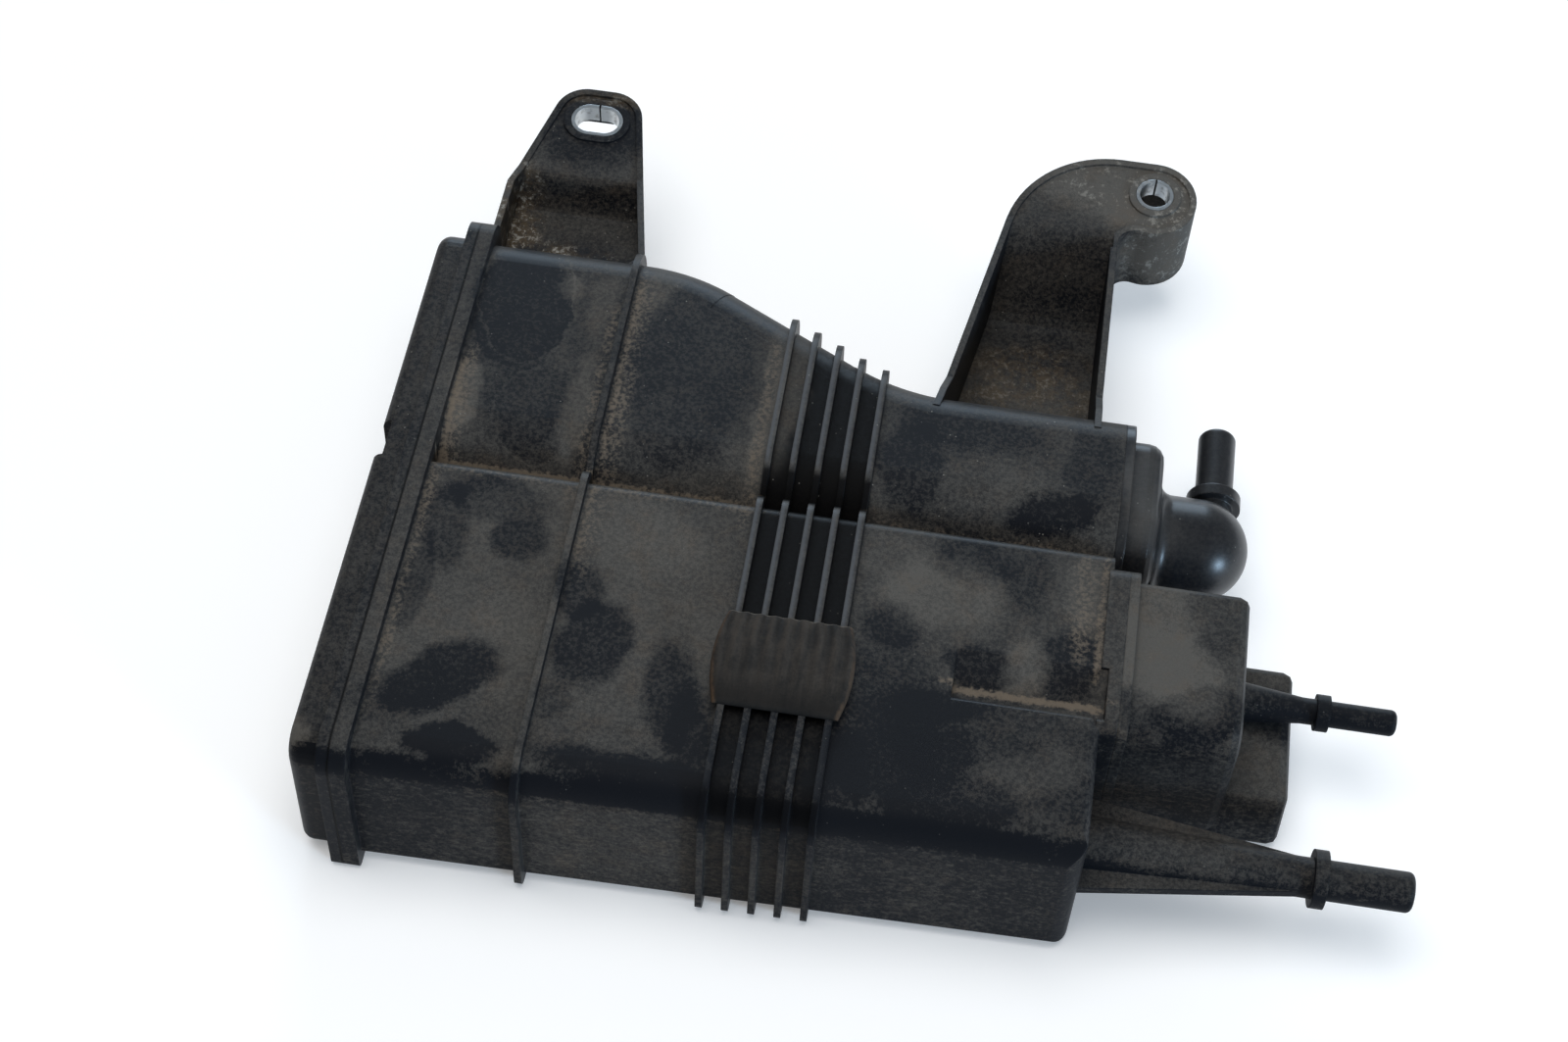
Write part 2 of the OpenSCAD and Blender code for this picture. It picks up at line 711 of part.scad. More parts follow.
// Tank pipe with the two webs that brace it in its parting plane
module tank_pipe() {
    pipe_end = body_len + tank_reach - bead_w;
    translate([body_len - wall, tank_y, tank_z]) rotate([0, 90, 0])
        spigot(tank_reach + wall, tank_root_d, wide_d, wide_bead_h, tank_spigot);
    translate([0, tank_y, tank_z - web_t / 2]) linear_extrude(web_t) polygon([
        [body_len - wall, -web_w / 2],
        [pipe_end, -wide_d / 2],
        [pipe_end, wide_d / 2],
        [body_len - wall, web_w / 2]
    ]);
}

// Each chamber as a shell, open at the weld face
module front_shell() difference() {
    front_form(0, 0, body_len);
    front_room(wall, front_end_x);
    end_rounding();
}

module back_shell() difference() {
    back_form(0, 0, body_len);
    back_form(wall, -cut, front_end_x);
}

// Cuts the foot of a bracket back to the middle of the back chamber's wall
module footed() difference() {
    children();
    back_form(wall / 2, -cut, body_len);
}

module canister_body() color(plastic) in_place() difference() {
    union() {
        front_shell();
        back_shell();
        along_x(0, flange_t) difference() {
            flange_outline(0);
            body_section(0, wall / 2);
        }
        outer_rib(fin_x, fin_t);
        for (k = [0:rib_count - 1]) outer_rib(rib_x + k * rib_pitch, rib_t);
        along_x(body_len - wall / 2, port_x) port_outline(0);
        footed() left_bracket();
        footed() right_bracket();
        tank_pipe();
    }
    pocket();
    along_x(front_end_x - cut, port_x + cut) port_outline(port_step + wall + housing_r);
    translate([front_end_x - cut, axis_y, elbow_z]) rotate([0, 90, 0])
        cylinder(d = elbow_bore, h = wall + 2 * cut);
    translate([body_len - wall, tank_y, tank_z]) rotate([0, 90, 0])
        spigot_bore(tank_reach + wall, wide_d, tank_spigot, wall);
    at_bolt(left_bolt_x) bolt_rod(sleeve_d + 2 * sleeve_gap, oval_extra, sleeve_len + cut, body_h);
    at_bolt(right_bolt_x) bolt_rod(sleeve_d + 2 * sleeve_gap, 0, sleeve_len + cut, body_h);
}

// Disc with a rounded rim, facing away from the weld face
module cover_corner(r) rotate([0, -90, 0]) rotate_extrude($fn = hull_fn) {
    square([r, cover_depth - cover_edge_r]);
    if (r > cover_edge_r) square([r - cover_edge_r, cover_depth]);
    translate([r - cover_edge_r, cover_depth - cover_edge_r]) intersection() {
        circle(cover_edge_r, $fn = hull_fn);
        square(cover_edge_r);
    }
}

// Place of the notch in the cover's outer face, made larger by a given amount
module notch_block(more) translate([-cover_depth, back_y0 - more, mid_z - more])
    cube([notch_depth + more, notch_w + 2 * more, mid_z - cover_step + rib_h]);

module end_cover() color(plastic) in_place() {
    y0 = flange_y0 + cover_step;
    y1 = flange_y0 + flange_w - cover_step;
    z0 = cover_step - rib_h;
    z1 = flange_h - rib_h - cover_step;
    difference() {
        union() {
            difference() {
                union() {
                    along_x(-cover_flange_t, 0) flange_outline(0);
                    hull() {
                        for (y = [y0 + cover_edge_r, y1 - cover_edge_r])
                            translate([0, y, z0 + cover_edge_r]) cover_corner(cover_edge_r);
                        for (y = [y0 + flange_r, y1 - flange_r])
                            translate([0, y, z1 - flange_r]) cover_corner(flange_r);
                    }
                }
                along_x(wall - cover_depth, cut) flange_outline(cover_step + wall);
            }
            intersection() {
                translate([wall / 2, 0, 0]) notch_block(wall);
                along_x(-cover_depth, 0) flange_outline(cover_step + wall / 2);
            }
        }
        translate([-cut, 0, 0]) notch_block(0);
        translate([-cut, 0, cover_edge_r]) notch_block(0);
    }
}

// Rod with softened end edge, used as one corner of a housing
module housing_corner(r, length) rotate([0, 90, 0]) {
    soft_r = housing_r * (1 - sqrt(1 / 2));
    cylinder(r = r, h = length - housing_r, $fn = hull_fn);
    cylinder(r = r - soft_r, h = length - soft_r, $fn = hull_fn);
    cylinder(r = max(r - housing_r, cut / 2), h = length, $fn = hull_fn);
}

module upper_housing(inset) {
    y0 = port_y + port_step + inset;
    y1 = port_y + port_w - port_step - inset;
    z0 = port_z + port_step + inset;
    z1 = port_z + port_h - port_step - inset;
    top_r = upper_edge_r - inset;
    r = housing_r;
    length = port_cover_t + upper_len - inset;
    translate([port_x, 0, 0]) hull() {
        for (z = [z0 + r, z1 - r]) translate([0, y1 - r, z]) housing_corner(r, length);
        translate([0, y0 + r, z0 + r]) housing_corner(r, length);
        translate([0, y0 + top_r, z1 - top_r]) housing_corner(top_r, length);
    }
}

module lower_housing(inset) {
    y0 = port_y + port_step + inset;
    y1 = y0 + lower_w - 2 * inset;
    z0 = lower_z + inset;
    z1 = lower_z + lower_h - inset;
    r = housing_r;
    length = port_cover_t + lower_len - inset;
    translate([port_x, 0, 0]) hull() {
        for (y = [y0 + lower_lean + r, y1 - r]) translate([0, y, z1 - r]) housing_corner(r, length);
        for (y = [y0 + r, y1 - r]) translate([0, y, z0 + r]) housing_corner(r, length);
    }
}

module port_cover() color(plastic) in_place() difference() {
    union() {
        along_x(port_x, housing_x) port_outline(0);
        upper_housing(0);
        lower_housing(0);
        translate([purge_x - wall, port_y + purge_y, purge_z]) rotate([0, 90, 0])
            spigot(purge_reach + wall, purge_root_d, slim_d, slim_bead_h, purge_spigot);
    }
    translate([-cut, 0, 0]) upper_housing(wall);
    translate([-cut, 0, 0]) lower_housing(wall);
    translate([purge_x - wall, port_y + purge_y, purge_z]) rotate([0, 90, 0])
        spigot_bore(purge_reach + wall, slim_d, purge_spigot, wall);
}

// Half section of the elbow from the cap to the centre of its dome
module elbow_profile() {
    r = elbow_d / 2;
    square([r, elbow_reach]);
    difference() {
        translate([0, step_end - cut]) square([r + elbow_fillet_r, elbow_fillet_r + cut]);
        translate([r + elbow_fillet_r, step_end + elbow_fillet_r]) circle(elbow_fillet_r);
    }
}

// Step on the cap, with its outer edge rounded in layers
module cap_step() hull() for (k = [0:step_layers]) let (turn = 90 * k / step_layers)
    along_x(body_len, body_len + step_end - step_edge_r * (1 - sin(turn)))
        neck_outline(step_inset + step_edge_r * (1 - cos(turn)));

module vent_elbow() color(plastic) in_place() difference() {
    union() {
        along_x(body_len, body_len + cap_t) neck_outline(0);
        cap_step();
        translate([body_len, axis_y, elbow_z]) rotate([0, 90, 0]) rotate_extrude() elbow_profile();
        translate([dome_x, axis_y, elbow_z]) sphere(d = elbow_d);
        translate([dome_x + vent_shift, axis_y, elbow_z]) rotate([-90, 0, 0])
            spigot(vent_bead, vent_root_d, wide_d, wide_bead_h, vent_spigot);
    }
    translate([body_len - cut, axis_y, elbow_z]) rotate([0, 90, 0])
        cylinder(d = elbow_bore, h = elbow_reach + cut);
    translate([dome_x, axis_y, elbow_z]) sphere(d = elbow_bore);
    translate([dome_x + vent_shift, axis_y, elbow_z]) rotate([-90, 0, 0])
        spigot_bore(vent_bead, wide_d, vent_spigot, 0);
}

// Section of the neck, moved inwards by a given amount
module neck_outline(inset) translate([back_y0 + inset, inset])
    rounded(neck_w - 2 * inset, body_h - 2 * inset,
        [lower_edge_r - inset, lower_edge_r - inset, back_edge_r - inset, groove_r - inset]);

// Steel sleeve rolled from strip, with its split to the back
module sleeve(extra) difference() {
    bolt_rod(sleeve_d, extra, sleeve_len - ring_h, ring_h);
    bolt_rod(bolt_d, extra, sleeve_len + cut, ring_h + cut);
    translate([-split_w / 2, 0, -sleeve_len - cut]) cube([split_w, sleeve_d, 2 * sleeve_len + 2 * cut]);
}

module oval_sleeve() color(steel) in_place() at_bolt(left_bolt_x) sleeve(oval_extra);

module round_sleeve() color(steel) in_place() at_bolt(right_bolt_x) sleeve(0);

// Radius of an arc with a given chord and rise
function arc_r(chord, rise) = (chord ^ 2 / 4 + rise ^ 2) / (2 * rise);

// Arched section of the pad across the ribs
module pad_section() intersection() {
    r = arc_r(pad_w, pad_rise);
    translate([0, pad_edge_t + pad_rise - r]) circle(r, $fn = arc_fn);
    translate([-pad_w / 2, 0]) square([pad_w, 2 * (pad_edge_t + pad_rise)]);
}

// Outline of the pad in plan, with bulging sides
module pad_outline() intersection() {
    r = arc_r(pad_w, pad_bulge);
    middle = pad_len / 2 + pad_bulge - r;
    translate([middle, 0]) circle(r, $fn = arc_fn);
    translate([-middle, 0]) circle(r, $fn = arc_fn);
}

module rib_pad() color(rubber) in_place() translate([pad_x, pad_y + pad_w / 2, pad_z]) intersection() {
    union() {
        along_x(-pad_len, pad_len) pad_section();
        for (k = [0:ridge_count - 1]) let (x = (k - (ridge_count - 1) / 2) * pad_len / ridge_count)
            translate([0, 0, ridge_h]) along_x(x - ridge_w / 2, x + ridge_w / 2) pad_section();
    }
    translate([0, 0, -cut]) linear_extrude(2 * (pad_edge_t + pad_rise)) pad_outline();
}

module front_carbon_bed() color(carbon) in_place() front_slice(bed_x, felt_end_x - felt_t);

module back_carbon_bed() color(carbon) in_place() back_slice(bed_x, neck_felt_x);

module neck_carbon_bed() color(carbon) in_place()
    back_slice(neck_felt_x + felt_t, felt_end_x - felt_t);

module front_port_felt() color(felt) in_place() front_slice(felt_end_x - felt_t, felt_end_x);

module front_plate_felt() color(felt) in_place() front_slice(plate_felt_x, bed_x);

module back_plate_felt() color(felt) in_place() back_slice(plate_felt_x, bed_x);

module neck_felt() color(felt) in_place() back_slice(neck_felt_x, neck_felt_x + felt_t);

module vent_felt() color(felt) in_place() back_slice(felt_end_x - felt_t, felt_end_x);

// Rows of holes through a pressure plate, spaced from its middle
module plate_holes(mid_y, width) {
    across = floor((width / 2 - wall - vent_hole_d) / vent_hole_pitch);
    up = floor((body_h / 2 - wall - vent_hole_d) / vent_hole_pitch);
    for (j = [-across:across], k = [-up:up])
        translate([plate_x - cut, mid_y + j * vent_hole_pitch, mid_z + k * vent_hole_pitch])
            rotate([0, 90, 0]) cylinder(d = vent_hole_d, h = plate_t + 2 * cut);
}

// Ring that keeps a spring in its place on a plate
module spring_seat(y) translate([plate_x - seat_h, y, mid_z]) rotate([0, 90, 0]) difference() {
    cylinder(d = spring_d - 2 * wire_d - 2 * bed_gap, h = seat_h + cut);
    translate([0, 0, -cut]) cylinder(d = spring_d - 2 * wire_d - 2 * bed_gap - 2 * wall, h = seat_h + 3 * cut);
}

module front_pressure_plate() color(plate_grey) in_place() {
    difference() {
        front_slice(plate_x, plate_felt_x);
        plate_holes(front_mid_y, front_w);
    }
    for (side = [-1, 1]) spring_seat(front_mid_y + side * spring_dy);
}

module back_pressure_plate() color(plate_grey) in_place() {
    difference() {
        back_slice(plate_x, plate_felt_x);
        plate_holes(back_mid_y, back_w);
    }
    for (side = [-1, 1]) spring_seat(back_mid_y + side * spring_dy);
}

// Ring of points round the wire at an angle along the coil
function wire_ring(angle, pitch) =
    let (
        r = (spring_d - wire_d) / 2,
        lift = wire_d / 2 + pitch * angle / 360,
        out = [0, cos(angle), sin(angle)],
        ahead = [pitch / (2 * PI * r), -sin(angle), cos(angle)],
        across = cross(ahead / norm(ahead), out)
    )
    [for (k = [0:wire_sides - 1]) let (a = 360 * k / wire_sides)
        [lift, 0, 0] + r * out + wire_d / 2 * (cos(a) * out + sin(a) * across)];

// Coil spring between the end cover and a pressure plate
module coil_spring(y) {
    pitch = (spring_len - wire_d) / spring_turns;
    rings = round(spring_turns * wire_steps);
    last = rings * wire_sides;
    points = [for (k = [0:rings]) each wire_ring(360 * spring_turns * k / rings, pitch)];
    sides = [for (k = [0:rings - 1], j = [0:wire_sides - 1]) let (n = (j + 1) % wire_sides)
        [k * wire_sides + j, k * wire_sides + n, (k + 1) * wire_sides + n, (k + 1) * wire_sides + j]];
    first_end = [for (j = [wire_sides - 1:-1:0]) j];
    last_end = [for (j = [0:wire_sides - 1]) last + j];
    color(spring_steel) in_place() translate([spring_x, y, mid_z])
        polyhedron(points, concat(sides, [first_end], [last_end]));
}

module front_outer_spring() coil_spring(front_mid_y - spring_dy);

module front_inner_spring() coil_spring(front_mid_y + spring_dy);

module back_inner_spring() coil_spring(back_mid_y - spring_dy);

module back_outer_spring() coil_spring(back_mid_y + spring_dy);

canister_body();
end_cover();
port_cover();
vent_elbow();
oval_sleeve();
round_sleeve();
rib_pad();
front_carbon_bed();
back_carbon_bed();
neck_carbon_bed();
front_port_felt();
front_plate_felt();
back_plate_felt();
neck_felt();
vent_felt();
front_pressure_plate();
back_pressure_plate();
front_outer_spring();
front_inner_spring();
back_inner_spring();
back_outer_spring();
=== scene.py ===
import math
from functools import reduce

import bpy
import numpy as np
from mathutils import Matrix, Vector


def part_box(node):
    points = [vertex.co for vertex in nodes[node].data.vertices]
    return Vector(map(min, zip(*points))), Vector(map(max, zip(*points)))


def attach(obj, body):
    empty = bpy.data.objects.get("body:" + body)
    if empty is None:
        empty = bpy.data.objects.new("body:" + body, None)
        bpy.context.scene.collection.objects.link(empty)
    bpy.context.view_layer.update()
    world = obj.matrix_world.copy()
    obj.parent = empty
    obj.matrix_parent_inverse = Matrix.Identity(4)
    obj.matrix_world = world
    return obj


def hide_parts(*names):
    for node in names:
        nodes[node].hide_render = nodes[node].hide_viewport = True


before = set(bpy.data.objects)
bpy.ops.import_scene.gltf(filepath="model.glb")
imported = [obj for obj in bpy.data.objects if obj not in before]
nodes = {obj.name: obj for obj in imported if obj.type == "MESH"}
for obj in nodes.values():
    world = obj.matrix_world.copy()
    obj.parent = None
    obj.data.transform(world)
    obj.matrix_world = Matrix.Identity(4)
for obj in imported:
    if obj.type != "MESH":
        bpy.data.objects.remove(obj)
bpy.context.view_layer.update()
print("canister: frame loaded,", len(nodes), "nodes")

bodyCorner = (-0.1469, -0.13159, 0.0035)  # weld face, front wall at the port end, underside; metres
topFace = {"height": 53.0, "reach": 16.0}  # millimetres; a flat patch counts this far above and below
batch = 12  # patches worked out in one go; the whole list at once renders black
socketNames = {
    "colour": "Base Color", "roughness": "Roughness", "metallic": "Metallic", "ior": "IOR",
    "specular": "Specular IOR Level", "normal": "Normal", "coat": "Coat Weight",
    "coatRoughness": "Coat Roughness", "glow": "Emission Color", "glowStrength": "Emission Strength",
}


# one output of a material's node; sums and products of outputs add Math nodes
class Out:
    def __init__(self, recipe, socket):
        self.recipe = recipe
        self.socket = socket

    def math(self, operation, first, second):
        return self.recipe.node("Math", {"operation": operation}, {0: first, 1: second})

    def __add__(self, other):
        return self.math("ADD", self, other)

    def __sub__(self, other):
        return self.math("SUBTRACT", self, other)

    def __rsub__(self, other):
        return self.math("SUBTRACT", other, self)

    def __mul__(self, other):
        return self.math("MULTIPLY", self, other)

    def __truediv__(self, other):
        return self.math("DIVIDE", self, other)

    def __rtruediv__(self, other):
        return self.math("DIVIDE", other, self)

    def __abs__(self):
        return self.math("ABSOLUTE", self, 0.0)

    def atLeast(self, other):
        return self.math("MAXIMUM", self, other)

    __radd__ = __add__
    __rmul__ = __mul__


# a material being written: its tree, its shader and the few moves that all finishes share
class Recipe:
    def __init__(self, name):
        self.material = bpy.data.materials.new(name)
        self.material.use_nodes = True
        self.tree = self.material.node_tree
        self.tree.nodes.clear()
        self.shader = self.tree.nodes.new("ShaderNodeBsdfPrincipled")
        sheet = self.tree.nodes.new("ShaderNodeOutputMaterial")
        self.tree.links.new(self.shader.outputs[0], sheet.inputs["Surface"])

    def node(self, kind, settings=None, sockets=None, out=0):
        made = self.tree.nodes.new("ShaderNode" + kind)
        for key, value in (settings or {}).items():
            setattr(made, key, value)
        for key, value in (sockets or {}).items():
            self.feed(made.inputs[key], value)
        return Out(self, made.outputs[out])

    def feed(self, socket, value):
        if isinstance(value, Out):
            self.tree.links.new(value.socket, socket)
        else:
            socket.default_value = value

    def finish(self, **sockets):
        for key, value in sockets.items():
            self.feed(self.shader.inputs[socketNames[key]], value)
        return self.material

    # object coordinates in millimetres from the body's own corner
    def place(self):
        metres = self.node("TexCoord", out=3)
        return self.node("VectorMath", {"operation": "MULTIPLY_ADD"},
                         {0: metres, 1: (1000.0,) * 3, 2: tuple(-1000.0 * c for c in bodyCorner)})

    def axes(self, vector):
        return [self.node("SeparateXYZ", None, {0: vector}, k) for k in range(3)]

    def facing(self):
        return self.axes(self.node("NewGeometry", out=1))

    def stretched(self, vector, scales):
        return self.node("VectorMath", {"operation": "MULTIPLY"}, {0: vector, 1: scales})

    # smooth step from 0 at low to 1 at high
    def rise(self, value, low, high):
        return self.node("MapRange", {"interpolation_type": "SMOOTHSTEP"},
                         {0: value, 1: low, 2: high, 3: 0.0, 4: 1.0})

    def clip(self, value):
        return self.node("Clamp", None, {0: value})

    # a mask that never falls below a share
    def kept(self, value, least):
        return least + (1.0 - least) * value

    # smooth band: 1 on the middle, 0 from the half width on
    def band(self, value, middle, half):
        return 1.0 - self.rise(abs(value - middle), 0.0, half)

    def noise(self, vector, size, detail, rough):
        return self.node("TexNoise", None,
                         {"Vector": vector, "Scale": 1.0 / size, "Detail": detail, "Roughness": rough})

    # a place shaken by noise, so that drawn edges wander
    def shaken(self, vector, size, reach):
        colour = self.node("TexNoise", None, {"Vector": vector, "Scale": 1.0 / size, "Detail": 2.0}, 1)
        centred = self.node("VectorMath", {"operation": "SUBTRACT"}, {0: colour, 1: (0.5, 0.5, 0.5)})
        return self.node("VectorMath", {"operation": "MULTIPLY_ADD"},
                         {0: centred, 1: (2.0 * reach,) * 3, 2: vector})

    # the same place moved by a hair with a value, so that long lists are worked out a few at a time
    def after(self, vector, value):
        hair = (1e-4,) * 3
        return self.node("VectorMath", {"operation": "MULTIPLY_ADD"}, {0: value, 1: hair, 2: vector})

    # soft ellipse: 1 inside, 0 outside, its edge a share of its radii wide
    def patch(self, vector, x, y, rx, ry, turn=0.0, z=topFace["height"], rz=topFace["reach"], edge=0.3):
        unit = self.node("Mapping", {"vector_type": "TEXTURE"},
                         {"Vector": vector, "Location": (x, y, z),
                          "Rotation": (0.0, 0.0, math.radians(turn)), "Scale": (rx, ry, rz)})
        away = self.node("VectorMath", {"operation": "LENGTH"}, {0: unit}, 1)
        return 1.0 - self.rise(away, 1.0 - edge, 1.0 + edge)

    def mix(self, factor, first, second):
        return self.node("Mix", {"data_type": "RGBA"}, {0: factor, 6: first, 7: second}, 2)

    # rounded edges from the bevel node, then fine relief on top
    def relief(self, height, depth, edge):
        rounded = self.node("Bevel", {"samples": 6}, {"Radius": edge})
        return self.node("Bump", None,
                         {"Strength": 1.0, "Distance": depth, "Height": height, "Normal": rounded})


def tone(red, green, blue):
    # a colour written as on a screen, 0 to 255, to the linear values a shader takes
    part = np.array([red, green, blue]) / 255.0
    linear = np.where(part <= 0.04045, part / 12.92, ((part + 0.055) / 1.055) ** 2.4)
    return (*linear.tolist(), 1.0)


